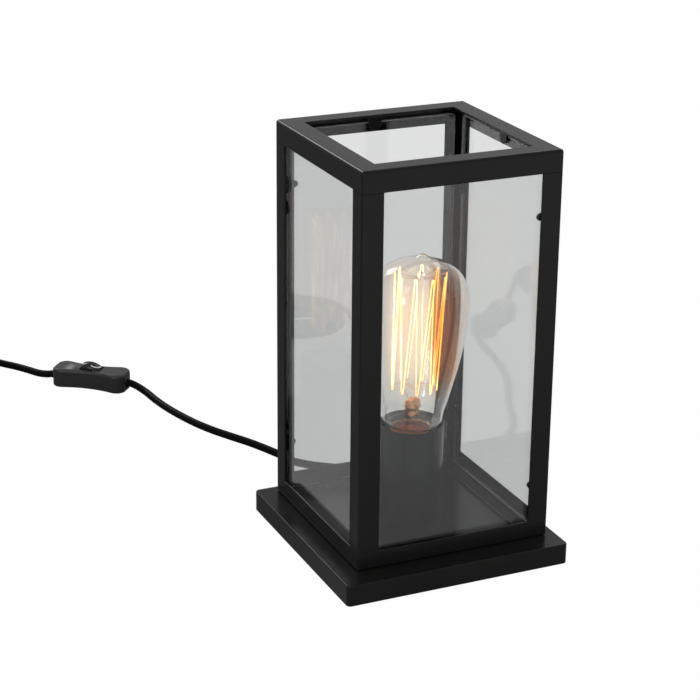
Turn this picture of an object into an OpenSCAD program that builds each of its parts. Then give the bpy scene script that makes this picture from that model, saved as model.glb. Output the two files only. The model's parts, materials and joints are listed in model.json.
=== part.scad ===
// Lantern table lamp: an open-topped frame of steel angle with four glass panes, standing on a flat
// steel base, round a large pear-shaped filament bulb in a plain lampholder. The cord leaves at the
// back, runs through an in-line rocker switch, and its spare length is wound up beside its plug.
// Millimetres, +Z up, origin on the floor at the middle of the base. The wide face at the front
// looks along -Y.

/* [Base] */
// Width and depth of the base tray
base_w = 154; // [146:1:190]
// Height of the tray's wall, its top plate included
base_h = 13.8; // [13:0.1:20]
// Sheet of the tray
base_t = 1.5; // [1:0.1:2]
// Radius of the tray's four upright corners
base_corner_r = 3; // [2.5:0.5:6]
// Radius of the tray's upper edge
base_edge_r = 0.6; // [0.4:0.1:1]
// Height of the floor gap under the tray's wall
floor_gap = 1.2; // [0.8:0.1:1.5]
// Sheet of the bottom cover
cover_t = 1.5; // [1.2:0.1:2]
// How far the cover lies inside the tray's lower edge
cover_recess = 0.4; // [0.2:0.1:0.8]
// Diameter of a rubber foot
foot_d = 14; // [10:1:20]
// Distance from the tray's side to the middle of a foot
foot_inset = 14; // [12:1:24]
// Diameter of the cover's screws
cover_screw_d = 3; // [2.5:0.5:3]
// Distance from the tray's side to a cover screw
cover_screw_inset = 27; // [24:1:30]

/* [Lantern frame] */
// Width of the square frame over its faces
frame_w = 133; // [125:1:138]
// Height of the frame above the base
frame_h = 256; // [225:1:300]
// How far the frame stands to the right of the base's middle
frame_right = 3.5; // [0:0.5:5]
// How far the frame stands behind the base's middle
frame_back = 5.5; // [0:0.5:6]
// Leg of the angle of the posts and the top rails
angle_w = 14; // [12:0.5:16]
// Height of the bottom rails' upright leg
low_rail_h = 12; // [10:0.5:16]
// Thickness of the angle
angle_t = 1.5; // [1:0.1:2]
// Radius of the frame's outer edges
frame_edge_r = 2; // [1.6:0.1:2.5]
// Diameter of the screws that hold the frame down
frame_screw_d = 4; // [3:0.5:4]
// Distance from the frame's middle to those screws, along a rail
frame_screw_x = 35; // [20:1:45]

/* [Glass panes] */
// Thickness of a pane
pane_t = 3; // [2:0.5:4]
// Gap between a pane's upright edge and the outer face of the side round the corner
pane_side_gap = 8; // [7.8:0.1:9]
// Gap between a pane's top edge and the top rail's flange
pane_top_gap = 5.5; // [3:0.5:8]
// Radius of a pane's corners
pane_corner_r = 3; // [1:0.5:6]
// Clearance of a pane in the frame
pane_clear = 0.3; // [0.2:0.1:0.5]

/* [Pane clips] */
// Width of a clip at its root
clip_w = 11; // [8:1:14]
// Sheet of a clip
clip_t = 1.2; // [0.8:0.1:1.4]
// How far the top clips and the lower side clips reach over the glass
clip_reach = 5.5; // [4:0.5:8]
// How far the upper side clips reach over the glass
high_clip_reach = 7; // [5:0.5:8]
// Radius of the round tip of a top clip
clip_tip_r = 4.4; // [2:0.1:5]
// Radius of the round tip of a side clip
side_clip_tip_r = 2.4; // [2:0.1:3.5]
// Height of the lower side clips of the front and back panes above the base
clip_low_z = 36; // [28:1:60]
// Drop of the upper side clips of the front and back panes below the frame's top
clip_high_drop = 42; // [30:1:60]

/* [Lampholder] */
// Outer diameter of the sleeve
sleeve_d = 42.5; // [41.5:0.5:50]
// Height of the sleeve
sleeve_h = 65; // [60:1:66]
// Wall of the sleeve
sleeve_t = 1.2; // [1:0.1:1.5]
// Diameter of the hollow threaded rod
rod_d = 10; // [9.5:0.5:10]
// Bore of the rod
rod_bore_d = 7; // [6:0.5:7.5]
// Width across the flats of the rod's nuts
nut_flats = 14; // [13:1:16]
// Thickness of a nut
nut_t = 3.6; // [3:0.1:3.8]
// Height of the lampholder's foot above the base
holder_z = 23; // [22:0.5:24]
// Outer diameter of the lampholder's body
holder_d = 36; // [34:0.5:38]
// Height of the lampholder's body
holder_h = 36; // [35:0.5:36.5]
// Thickness of the lampholder's floor
holder_floor = 7.5; // [6:0.5:8]
// Inner diameter of the threaded shell, over its crests
shell_bore_d = 26.8; // [26.7:0.1:27.2]
// Sheet of the threaded shell
shell_t = 0.5; // [0.3:0.1:0.6]

/* [Bulb] */
// Diameter of the bulb's screw cap
cap_d = 26.2; // [26:0.1:26.3]
// Diameter of the cap's smooth skirt
skirt_d = 27.6; // [27:0.1:27.8]
// Height of the skirt
skirt_h = 4.7; // [3:0.1:5]
// Length of the cap from its rim to its centre contact
cap_h = 27.8; // [27:0.1:28]
// Largest diameter of the glass
glass_d = 64; // [60:1:66]
// Gap between the head of the filament cage and the top of the glass
glass_head_gap = 13.3; // [12:0.1:16]
// Wall of the glass
glass_t = 1; // [0.6:0.1:1.2]
// How far the glass leans in its cap, in degrees
glass_lean = 2.6; // [0:0.1:3]
// Strands of the filament
strands = 18; // [12:2:22]
// Diameter of the filament's coiled wire
filament_d = 0.5; // [0.3:0.1:0.8]
// Radius of the filament cage at its foot
cage_foot_r = 14.8; // [13:0.1:16]
// Radius of the filament cage at its head
cage_head_r = 16.6; // [15:0.1:18]
// Height of the filament cage
cage_h = 76; // [66:1:80]
// Height of the cage's foot above the cap's rim
cage_foot_z = 28; // [24:1:32]

/* [Cord] */
// Diameter of the cord
cord_d = 5.6; // [5:0.1:5.6]
// Length of the strain relief behind the base
gland_l = 22; // [20:1:24]
// Wound cord: radius of the outermost turn
coil_r = 40; // [38:1:44]
// Wound cord: turns in each of the two layers
coil_turns = 3.44; // [2.44:1:3.44]
// Wound cord: step from turn to turn
coil_step = 6.3; // [6.3:0.1:6.8]
// Wound cord: step from layer to layer
coil_layer = 6.2; // [6.2:0.1:6.8]
// Width of the tie round the wound cord
tie_w = 9; // [6:1:12]
// Thickness of the tie
tie_t = 0.8; // [0.5:0.1:1]

/* [Switch] */
// Length of the switch
switch_l = 60; // [54:1:64]
// Width of the switch at its ends
switch_w = 22; // [21:0.5:26]
// How far each side is drawn in at the middle
switch_waist = 3; // [1:0.1:3.2]
// Height of the switch's body
switch_h = 14.8; // [13.5:0.1:16]
// Wall of the switch's shells
switch_t = 1.6; // [1.2:0.1:2]
// Radius of the switch's corners
switch_corner_r = 7; // [3.5:0.5:7.5]
// Height of the parting plane and of the cord's middle in the switch
switch_part_z = 6; // [5.5:0.1:6.5]
// Length of the rocker
rocker_l = 15; // [13:0.5:16]
// Width of the rocker
rocker_w = 11; // [8:0.5:11.5]
// Height of the rocker's dome above the switch's top
rocker_rise = 4.8; // [4:0.1:5.5]
// Radius of the dome along the rocker
rocker_dome_r = 14; // [11:1:20]
// Radius of the dome across the rocker
rocker_crown_r = 7.5; // [6:0.5:12]
// Tilt of the rocker from level when it is pressed, in degrees
rocker_tilt = 11; // [8:1:12]
// Diameter of the rocker's pin
rocker_pin_d = 2; // [1.5:0.1:2.2]

/* [Plug] */
// Width of the plug's body
plug_w = 35.3; // [32:0.1:36]
// Thickness of the plug's body
plug_t = 13.7; // [12:0.1:14]
// Length of the plug's body
plug_l = 34; // [30:1:38]
// Length of the plug's ribbed strain relief
plug_tail_l = 20; // [20:1:26]
// Diameter of a contact pin
plug_pin_d = 4; // [3.5:0.1:4]
// Length of a contact pin
plug_pin_l = 19; // [17:0.5:20]
// Distance between the two contact pins
plug_pin_gap = 18.6; // [17:0.1:19]

/* [Hidden] */
$fn = 48;

black_paint = [0.13, 0.13, 0.14];
pane_colour = [0.75, 0.8, 0.8, 0.35];

// Clearances
fit_gap = 0.05;        // a pin or a screw in its hole
slide_gap = 0.3;       // parts that pass each other
seat_gap = 0.2;        // the glass in its cement, a tongue on its pane
web_gap = 0.5;         // a clip's web beside the pane's edge
over = 1;              // how far a cutting solid runs past the face that it cuts

// Base
base_top = floor_gap + base_h;
cover_z = floor_gap + cover_recess;
cover_top = cover_z + cover_t;
plate_under = base_top - base_t;
screw_head_d = 1.9 * cover_screw_d;
cord_z = cover_top + 1.3 + cord_d / 2;
clamp_y = base_w / 2 - 14;
clamp_w = 24;
clamp_deep = 8;
clamp_bar_t = 3.2;
clamp_screw_x = 8;
clamp_boss_d = 6;
inlet_l = 20;
core_d = 2.2;
core_side = 1.3;
gland_y = base_w / 2;
gland_end_y = gland_y + gland_l;
gland_flange_d = 11.4;
gland_flange_t = 1.6;
gland_neck_d = 9;
gland_root_d = 10.2;
gland_mouth_d = cord_d + 1.8;
gland_snap_l = 1.4;

// Frame
pane_out = frame_w / 2 - angle_t - pane_clear;
pane_in = pane_out - pane_t;
pane_z = angle_t + pane_clear;
pane_h = frame_h - angle_t - pane_top_gap - pane_z;
pane_w = frame_w - 2 * pane_side_gap;
flange_in = frame_w / 2 - angle_w;
clip_face = pane_in - seat_gap;
clip_step = clip_w + 3;    // the side clips of the left and right panes sit nearer the middle
frame_screw_y = flange_in + angle_w * 0.3;

// Lampholder, heights above the base
holder_top = holder_z + holder_h;
holder_inner_z = holder_z + holder_floor;
holder_bore_d = shell_bore_d + 2 * shell_t + 4 * fit_gap;
rod_low = -base_t - nut_t - 1.4;
terminal_l = 3.8;
terminal_d = 2.5;
terminal_head_d = 3.3;
rod_top = holder_inner_z - terminal_l - slide_gap;
washer_t = 1;
washer_d = nut_flats + 5;
shell_top = holder_top - 3.5;
shell_flange_in = 8;
contact_z = holder_inner_z + 3 - slide_gap;

// Bulb, heights above the base
cap_low = holder_inner_z + 3;
rim_z = cap_low + cap_h;
cap_wall = 0.5;
cap_thread_low = cap_low + 4.8;
contact_t = 0.9;
contact_r = 4.6;
insulator_r = 9.3;
neck_r = 12.1;
glass_h = cage_foot_z + cage_h + glass_head_gap;
lean_pivot = rim_z - 2.4;
stem_r = 4.6;
stem_rod_r = 1.8;
pinch_z = 12;
pinch_h = 9;
pinch_t = 5.2;
hook_d = 0.5;
bend_r = filament_d / 2 + hook_d / 2 + 0.1;

// Switch, in its own frame: X along its length, Z up from the floor
switch_at = [-110.5, 337];
switch_turn = -40.5;
pivot_drop = 3;
rocker_pivot_z = switch_h - pivot_drop;
rocker_reach = rocker_l / 2 / cos(rocker_tilt) + pivot_drop * tan(rocker_tilt);
switch_bore_d = cord_d + 0.6;
switch_screw_d = 2.5;
switch_screw_at = [15, 6];
cord_in_switch = 4;
lug_t = 1.4;

// Coil and plug
coil_at = [-212, 402];
coil_start = 42;
coil_lift = tie_t + slide_gap;
coil_low_z = cord_d / 2 + coil_lift;
coil_total = 2 * coil_turns + 0.5;
coil_rings = 24;
tie_angle = 110;
coil_end = coil_start + 360 * coil_total;
plug_rear_gap = 30;

// Route of the cord over the floor, from the strain relief to the switch
cord_r = cord_d / 2;
route_lamp = [
    [0, 104, 6.4], [-1.5, 111, 5], [-6, 118.5, 3.6], [-14, 127, 2.9], [-22, 137.5, 2.8],
    [-28.5, 151, 2.8], [-34.5, 166, 2.8], [-41, 180.5, 2.8], [-48.5, 194.5, 2.8],
    [-56.5, 210, 2.8], [-63.5, 227, 2.8], [-69, 245, 2.8], [-73.5, 264, 2.8],
    [-76.5, 283, 2.9], [-78.6, 299, 3.6], [-82, 309.5, 5]
];
// Route from the switch to the wound cord
route_supply = [
    [-138.9, 362.6, 4.9], [-143.4, 371, 3.4], [-149, 382.4, 2.9],
    [-155.5, 393, 2.8], [-163.5, 403.5, 2.8], [-171.5, 414.5, 3.1], [-178, 423.8, 3.8]
];

// ---- Curves --------------------------------------------------------------

function unit(v) = v / norm(v);

// A point at t, from 0 to 1, on the smooth curve through b and c, with neighbours a and d
function spline_point(a, b, c, d, t) =
    0.5 * (2 * b + (c - a) * t + (2 * a - 5 * b + 4 * c - d) * t * t + (3 * b - a - 3 * c + d) * t * t * t);

// The smooth curve through the points p, with n steps in each stretch
function smooth(p, n) = concat(
    [for (i = [0:len(p) - 2], k = [0:n - 1])
        spline_point(p[max(0, i - 1)], p[i], p[i + 1], p[min(len(p) - 1, i + 2)], k / n)],
    [p[len(p) - 1]]);

// Direction of the polyline p at its point i
function heading(p, i) = unit(p[min(len(p) - 1, i + 1)] - p[max(0, i - 1)]);

// Length of the polyline p
function length_of(p, i = 0) = i >= len(p) - 1 ? 0 : norm(p[i + 1] - p[i]) + length_of(p, i + 1);

// Ring of a tube at the point c, square to the direction t
function ring(c, t, r, sides, ref) =
    let (a = unit(cross(t, ref)), b = cross(a, t))
    [for (k = [0:sides - 1]) c + r * (cos(360 * k / sides) * a + sin(360 * k / sides) * b)];

// A tube of radius r swept along the points p. The vector ref is never along the tube; without one,
// the direction away from the Z axis is used.
module tube(p, r, sides = 10, ref = [0, 0, 1]) {
    n = len(p);
    verts = [for (i = [0:n - 1])
        each ring(p[i], heading(p, i), r, sides, is_undef(ref) ? [p[i][0], p[i][1], 0] : ref)];
    walls = [for (i = [0:n - 2], k = [0:sides - 1])
        let (a = i * sides + k, b = i * sides + (k + 1) % sides)
        each [[a, b, b + sides], [a, b + sides, a + sides]]];
    low_end = [for (k = [1:sides - 2]) [0, k + 1, k]];
    last = (n - 1) * sides;
    high_end = [for (k = [1:sides - 2]) [last, last + k, last + k + 1]];
    polyhedron(verts, concat(walls, low_end, high_end));
}

// Points of a rail, post or plate outline ------------------------------------

module rounded_rect(w, d, r) {
    square([w - 2 * r, d], center = true);
    square([w, d - 2 * r], center = true);
    for (x = [-1, 1], y = [-1, 1]) translate([x * (w / 2 - r), y * (d / 2 - r)]) circle(r);
}

// A slab with round upright corners r and a round upper edge e
module filleted_slab(w, d, h, r, e) {
    linear_extrude(h - e) rounded_rect(w, d, r);
    linear_extrude(h) rounded_rect(w - 2 * e, d - 2 * e, r - e);
    translate([0, 0, h - e]) {
        for (y = [-1, 1]) translate([0, y * (d / 2 - e), 0]) rotate([0, 90, 0])
            cylinder(r = e, h = w - 2 * r, center = true);
        for (x = [-1, 1]) translate([x * (w / 2 - e), 0, 0]) rotate([90, 0, 0])
            cylinder(r = e, h = d - 2 * r, center = true);
        for (x = [-1, 1], y = [-1, 1]) translate([x * (w / 2 - r), y * (d / 2 - r), 0])
            rotate_extrude() translate([r - e, 0]) circle(e);
    }
}

// Section of the angle: corner at the origin, legs along +X and +Y, the outer corner round
module angle_section(leg_x, leg_y) {
    r = frame_edge_r;
    difference() {
        union() {
            translate([r, 0]) square([leg_x - r, leg_y]);
            translate([0, r]) square([leg_x, leg_y - r]);
            translate([r, r]) circle(r);
        }
        translate([angle_t, angle_t]) square([leg_x, leg_y]);
    }
}

// Countersunk screw: head's face at z = 0, shank upwards
module countersunk(d, length, head_h) {
    cylinder(r1 = 0.95 * d, r2 = d / 2, h = head_h);
    cylinder(d = d, h = length);
}

module countersunk_hole(d, depth, head_h) {
    g = fit_gap;
    translate([0, 0, -over]) cylinder(r = 0.95 * d + g, h = over);
    cylinder(r1 = 0.95 * d + g, r2 = d / 2 + g, h = head_h);
    cylinder(r = d / 2 + g, h = depth);
}

// Places the children at the middle of the frame, on the base
module at_frame() translate([frame_right, frame_back, base_top]) children();

// Turns the children, drawn at the front, to side 0 front, 1 right, 2 back or 3 left
module at_side(side) at_frame() rotate(90 * side) children();

module at_cover_screws()
    for (x = [-1, 1], y = [-1, 1])
        translate([x * (base_w / 2 - cover_screw_inset), y * (base_w / 2 - cover_screw_inset), 0]) children();

module at_frame_screws()
    at_frame() for (x = [-1, 1], y = [-1, 1]) translate([x * frame_screw_x, y * frame_screw_y, 0]) children();

// ---- Base ------------------------------------------------------------------

module base_tray() {
    inner_w = base_w - 2 * base_t;
    boss_d = cover_screw_d + 4;
    color(black_paint) difference() {
        union() {
            translate([0, 0, floor_gap]) difference() {
                filleted_slab(base_w, base_w, base_h, base_corner_r, base_edge_r);
                translate([0, 0, -over]) linear_extrude(base_h - base_t + over)
                    rounded_rect(inner_w, inner_w, base_corner_r - base_t);
            }
            at_cover_screws() translate([0, 0, cover_top])
                cylinder(d = boss_d, h = plate_under - cover_top + 0.5);
            for (x = [-1, 1]) translate([x * clamp_screw_x, clamp_y, clamp_top()])
                cylinder(d = clamp_boss_d, h = plate_under - clamp_top() + 0.5);
            translate([-cord_r, clamp_y - clamp_deep / 2, cord_z + cord_r])
                cube([cord_d, clamp_deep, plate_under - cord_z - cord_r + 0.5]);
        }
        at_cover_screws() translate([0, 0, cover_top - over])
            cylinder(r = cover_screw_d / 2 + fit_gap, h = cover_screw_len() - cover_t + over + 0.2);
        for (x = [-1, 1]) translate([x * clamp_screw_x, clamp_y, clamp_top() - over])
            cylinder(r = cover_screw_d / 2 + fit_gap, h = clamp_screw_len() - clamp_bar_t + over + 0.2);
        at_frame_screws() translate([0, 0, -base_t])
            countersunk_hole(frame_screw_d, base_t + over, base_t);
        at_frame() translate([0, 0, -base_t - over])
            cylinder(r = rod_d / 2 + slide_gap, h = base_t + 2 * over);
        translate([0, base_w / 2 + over, cord_z]) rotate([90, 0, 0])
            cylinder(r = gland_neck_d / 2 + fit_gap, h = base_t + 2 * over);
    }
}

function clamp_top() = cord_z - 0.6;
function clamp_screw_len() = clamp_bar_t + 4;
function cover_screw_len() = cover_t + 6;

module bottom_cover() {
    w = base_w - 2 * base_t - 2 * slide_gap;
    color([0.2, 0.2, 0.21]) difference() {
        translate([0, 0, cover_z]) linear_extrude(cover_t)
            rounded_rect(w, w, base_corner_r - base_t - slide_gap);
        at_cover_screws() translate([0, 0, cover_z]) countersunk_hole(cover_screw_d, cover_t + over, cover_t);
    }
}

module foot_pads() {
    at = base_w / 2 - foot_inset;
    color([0.08, 0.08, 0.08]) for (x = [-1, 1], y = [-1, 1])
        translate([x * at, y * at, 0]) rotate_extrude()
            polygon([[0, 0], [foot_d / 2 - 0.6, 0], [foot_d / 2, 0.6], [foot_d / 2, cover_z], [0, cover_z]]);
}

module cover_screws()
    color([0.6, 0.6, 0.62]) at_cover_screws() translate([0, 0, cover_z])
        countersunk(cover_screw_d, cover_screw_len(), cover_t);

module frame_screws()
    color([0.6, 0.6, 0.62]) at_frame_screws() translate([0, 0, -base_t])
        countersunk(frame_screw_d, base_t + angle_t, base_t);

// ---- Cord inlet -------------------------------------------------------------

// Places the children, drawn along +Z, so that they point backwards out of the cord's hole
module at_inlet() translate([0, gland_y, cord_z]) rotate([-90, 0, 0]) children();

// Snap-in strain relief, its inner lip flat where it passes over the bottom cover
module cord_gland() {
    inner = -base_t - gland_snap_l;
    color([0.09, 0.09, 0.09]) at_inlet() difference() {
        rotate_extrude() polygon([
            [cord_r + fit_gap, inner], [gland_flange_d / 2 - 0.6, inner],
            [gland_flange_d / 2 - 0.2, -base_t - 0.1], [gland_neck_d / 2, -base_t - 0.1],
            [gland_neck_d / 2, 0.1], [gland_flange_d / 2, 0.1],
            [gland_flange_d / 2, gland_flange_t], [gland_root_d / 2, gland_flange_t + 0.5],
            [gland_mouth_d / 2, gland_l - 0.6], [gland_mouth_d / 2 - 0.5, gland_l],
            [cord_r + fit_gap, gland_l]
        ]);
        translate([-gland_flange_d / 2, cord_z - cover_top - slide_gap, inner - over])
            cube([gland_flange_d, gland_flange_d, gland_snap_l + over]);
    }
}

module cord_inlet()
    color([0.1, 0.1, 0.1]) at_inlet() translate([0, 0, -inlet_l]) cylinder(r = cord_r, h = inlet_l + gland_l);

module cord_clamp() {
    z = clamp_top() - clamp_bar_t;
    color([0.85, 0.83, 0.78]) difference() {
        translate([-clamp_w / 2, clamp_y - clamp_deep / 2, z]) cube([clamp_w, clamp_deep, clamp_bar_t]);
        translate([0, clamp_y, cord_z]) rotate([90, 0, 0])
            cylinder(r = cord_r + fit_gap, h = clamp_deep + 2 * over, center = true);
        for (x = [-1, 1]) translate([x * clamp_screw_x, clamp_y, z])
            countersunk_hole(cover_screw_d, clamp_bar_t + over, 1.4);
    }
}

module clamp_screws()
    color([0.6, 0.6, 0.62]) for (x = [-1, 1])
        translate([x * clamp_screw_x, clamp_y, clamp_top() - clamp_bar_t])
            countersunk(cover_screw_d, clamp_screw_len(), 1.4);

// The two insulated cores run from the end of the sheath over the cover and up through the rod
module core_wires() {
    rod_x = frame_right;
    rod_y = frame_back;
    low = cover_top + core_d / 2 + 0.4;
    color([0.45, 0.28, 0.15]) for (s = [-1, 1]) tube(smooth([
        [s * core_side, gland_y - inlet_l, cord_z], [s * core_side, gland_y - inlet_l - 10, cord_z - 0.8],
        [s * core_side + rod_x / 2, gland_y - inlet_l - 32, low],
        [s * core_side + rod_x, rod_y + 9, low], [s * core_side + rod_x, rod_y + 3.2, low + 0.8],
        [s * core_side + rod_x, rod_y + 0.5, low + 3.6], [s * core_side + rod_x, rod_y, base_top],
        [s * core_side + rod_x, rod_y, base_top + rod_top / 2],
        [s * core_side + rod_x, rod_y, base_top + holder_inner_z]
    ], 2), core_d / 2, 6, [1, 0, 0]);
}

// ---- Frame --------------------------------------------------------------------

// Post at the front left corner of the frame
module post() {
    color(black_paint) translate([-frame_w / 2, -frame_w / 2, low_rail_h])
        linear_extrude(frame_h - low_rail_h - angle_w) angle_section(angle_w, angle_w);
}

// Plan of one side's share of the frame, cut to the mitres, with round upright corners
module mitre_wedge(h) {
    linear_extrude(h) intersection() {
        polygon([[-frame_w, -frame_w], [frame_w, -frame_w], [0, 0]]);
        rounded_rect(frame_w, frame_w, frame_edge_r);
    }
}

// Front rail of angle, its corner at the outer lower edge, upright leg h high
module rail(h) {
    intersection() {
        translate([-frame_w / 2, -frame_w / 2, 0]) rotate([90, 0, 90])
            linear_extrude(frame_w) angle_section(angle_w, h);
        mitre_wedge(h);
    }
}

module top_rail()
    color(black_paint) translate([0, 0, frame_h]) mirror([0, 0, 1]) rail(angle_w);

module low_rail(screwed)
    color(black_paint) difference() {
        rail(low_rail_h);
        if (screwed) for (x = [-1, 1]) translate([x * frame_screw_x, -frame_screw_y, -over])
            cylinder(r = frame_screw_d / 2 + fit_gap, h = angle_t + 2 * over);
    }

// ---- Glass and its clips ----------------------------------------------------------

module pane()
    color(pane_colour) translate([0, -pane_in, pane_z + pane_h / 2]) rotate([90, 0, 0])
        linear_extrude(pane_t) rounded_rect(pane_w, pane_h, pane_corner_r);

// A tongue's outline: root along the Y axis, round tip of radius r along +X
module tongue(length, r) {
    shoulder = length - r;
    polygon([[0, -clip_w / 2], [shoulder, -r], [shoulder, r], [0, clip_w / 2]]);
    intersection() {
        translate([shoulder, 0]) circle(r);
        translate([0, -r]) square([length, 2 * r]);
    }
}

// Clip from the left post: a web past the pane's edge and a tongue over the glass
module post_clip(reach) {
    web_x = -pane_w / 2 - web_gap - clip_t;
    depth = frame_w / 2 - angle_t - clip_face + clip_t;
    translate([web_x, -clip_face + clip_t, 0]) rotate([90, 0, 0])
        linear_extrude(clip_t) tongue(clip_t + web_gap + reach, side_clip_tip_r);
    translate([web_x, -frame_w / 2 + angle_t, -clip_w / 2]) cube([clip_t, depth, clip_w]);
}

// Clip of the top rail, drawn upside down: a foot on the rail's flange and a tongue over the pane's edge
module rail_clip() {
    translate([0, -clip_face + clip_t, angle_t]) rotate([90, 0, 0]) linear_extrude(clip_t)
        rotate(90) tongue(pane_top_gap + clip_reach, clip_tip_r);
    translate([-clip_w / 2, -clip_face, angle_t]) cube([clip_w, clip_face - flange_in - 0.5, clip_t]);
}

// The clips of one pane, its side clips nearer the middle by step
module pane_clips(step) {
    color([0.16, 0.16, 0.17]) {
        translate([0, 0, frame_h]) mirror([0, 0, 1]) rail_clip();
        for (m = [0, 1]) mirror([m, 0, 0]) {
            translate([0, 0, clip_low_z + step]) post_clip(clip_reach);
            translate([0, 0, frame_h - clip_high_drop - step]) post_clip(high_clip_reach);
        }
    }
}

// ---- Lampholder ----------------------------------------------------------------------

module holder_sleeve() {
    r = sleeve_d / 2;
    lip = sleeve_t / 2;
    color([0.17, 0.19, 0.19]) at_frame() {
        rotate_extrude() {
            translate([rod_d / 2 + slide_gap, 0]) square([r - rod_d / 2 - slide_gap, sleeve_t]);
            translate([r - sleeve_t, 0]) square([sleeve_t, sleeve_h - lip]);
            translate([r - lip, sleeve_h - lip]) circle(lip);
        }
    }
}

module threaded_rod()
    color([0.7, 0.68, 0.6]) at_frame() difference() {
        translate([0, 0, rod_low]) cylinder(d = rod_d, h = rod_top - rod_low);
        translate([0, 0, rod_low - over]) cylinder(d = rod_bore_d, h = rod_top - rod_low + 2 * over);
    }

module nut()
    difference() {
        cylinder(d = nut_flats / cos(30), h = nut_t, $fn = 6);
        translate([0, 0, -over]) cylinder(r = rod_d / 2 + fit_gap, h = nut_t + 2 * over);
    }

module rod_nuts()
    color([0.7, 0.68, 0.6]) at_frame() {
        translate([0, 0, -base_t - nut_t]) nut();
        translate([0, 0, sleeve_t]) difference() {
            cylinder(d = washer_d, h = washer_t);
            translate([0, 0, -over]) cylinder(r = rod_d / 2 + fit_gap, h = washer_t + 2 * over);
        }
        translate([0, 0, sleeve_t + washer_t]) nut();
        translate([0, 0, holder_z - nut_t]) nut();
    }

module holder_body() {
    r = holder_d / 2;
    bore = holder_bore_d / 2;
    color([0.12, 0.12, 0.12]) at_frame() difference() {
        rotate_extrude() polygon([
            [0, holder_z], [r - 2, holder_z], [r, holder_z + 2], [r, holder_top - 1], [r - 1, holder_top],
            [bore, holder_top], [bore, holder_inner_z], [0, holder_inner_z]
        ]);
        translate([0, 0, holder_z - over]) cylinder(r = rod_d / 2 + fit_gap, h = rod_top - holder_z + over);
        translate([0, 0, holder_z]) cylinder(d = rod_bore_d, h = holder_floor + over);
        for (x = terminal_xs()) translate([x, 0, holder_inner_z - terminal_l])
            cylinder(r = terminal_d / 2 + fit_gap, h = terminal_l + over);
    }
}

function terminal_xs() = [-6, shell_flange_in + 2.6];

module thread_shell() {
    r = shell_bore_d / 2;
    color([0.8, 0.6, 0.3]) at_frame() difference() {
        rotate_extrude() polygon([
            [shell_flange_in, holder_inner_z], [r + shell_t, holder_inner_z], [r + shell_t, shell_top],
            [r, shell_top], [r, holder_inner_z + shell_t], [shell_flange_in, holder_inner_z + shell_t]
        ]);
        translate([terminal_xs()[1], 0, holder_inner_z - over])
            cylinder(r = terminal_d / 2 + fit_gap, h = shell_t + 2 * over);
    }
}

// Bent strip: fixed by its left end, its middle sprung up to the cap's contact
module centre_contact() {
    z = holder_inner_z;
    t = 0.5;
    color([0.85, 0.65, 0.3]) at_frame() difference() {
        translate([0, 2.6, 0]) rotate([90, 0, 0]) linear_extrude(5.2) polygon([
            [-7.7, z], [-4.2, z], [-1.5, contact_z - t], [1.5, contact_z - t], [4.5, contact_z - t - 1.2],
            [4.5, contact_z - 1.2], [1.7, contact_z], [-1.7, contact_z], [-4.4, z + t], [-7.7, z + t]
        ]);
        translate([terminal_xs()[0], 0, z - over]) cylinder(r = terminal_d / 2 + fit_gap, h = t + 2 * over);
    }
}

module terminal_screws()
    color([0.75, 0.72, 0.65]) at_frame() for (x = terminal_xs()) translate([x, 0, holder_inner_z]) {
        translate([0, 0, -terminal_l]) cylinder(d = terminal_d, h = terminal_l + 1);
        translate([0, 0, shell_t]) cylinder(d = terminal_head_d, h = 1.2);
    }

// ---- Bulb ---------------------------------------------------------------------------------

module bulb_cap() {
    r = cap_d / 2;
    rs = skirt_d / 2;
    low = cap_low + 2.4;
    color([0.82, 0.6, 0.32]) at_frame() rotate_extrude() polygon([
        [insulator_r + 0.1, low], [r, cap_thread_low], [r, rim_z - skirt_h], [rs, rim_z - skirt_h + 0.5],
        [rs, rim_z], [rs - cap_wall, rim_z], [rs - cap_wall, rim_z - skirt_h + 0.7],
        [r - cap_wall, rim_z - skirt_h + 0.3], [r - cap_wall, cap_thread_low + 0.2],
        [insulator_r + 0.1, low + cap_wall + 0.1]
    ]);
}

// Basing cement between the cap and the neck of the glass
module cap_cement()
    color([0.62, 0.25, 0.08]) at_frame() rotate_extrude()
        translate([neck_r + seat_gap, rim_z - 4])
            square([skirt_d / 2 - cap_wall - neck_r - seat_gap - 0.02, 3.4]);

module cap_insulator()
    color([0.07, 0.06, 0.07]) at_frame() rotate_extrude() polygon([
        [0, cap_low + contact_t], [contact_r + 0.4, cap_low + contact_t], [insulator_r, cap_low + 2.5],
        [insulator_r, cap_low + 3.6], [0, cap_low + 3.6]
    ]);

module cap_contact()
    color([0.75, 0.74, 0.72]) at_frame() rotate_extrude() polygon([
        [0, cap_low], [contact_r - 0.9, cap_low + 0.15], [contact_r, cap_low + contact_t],
        [0, cap_low + contact_t]
    ]);

// Outline of the glass from the cap's rim up: [share of the largest radius, share of the height]
glass_knots = [
    [0.4625, 0.0145], [0.556, 0.028], [0.603, 0.048], [0.619, 0.077], [0.644, 0.119], [0.731, 0.213],
    [0.819, 0.32], [0.894, 0.418], [0.956, 0.527], [0.994, 0.622], [1, 0.72], [0.947, 0.816],
    [0.856, 0.871], [0.719, 0.912], [0.5375, 0.943], [0.328, 0.965], [0.175, 0.977], [0.1, 0.988],
    [0.044, 0.997], [0, 1]
];
glass_points = smooth(concat(
    [[neck_r, -2.2], [neck_r, 0.1]], [for (k = glass_knots) [k[0] * glass_d / 2, k[1] * glass_h]]), 3);
// The same outline one wall further in
glass_inner = [for (i = [0:len(glass_points) - 1])
    let (t = heading(glass_points, i)) glass_points[i] + glass_t * [-t[1], t[0]]];

// Places the children, drawn from the cap's rim up, on the leaning axis of the glass
module at_glass()
    at_frame() translate([0, 0, lean_pivot]) rotate([0, glass_lean, 0])
        translate([0, 0, rim_z - lean_pivot]) children();

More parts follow.
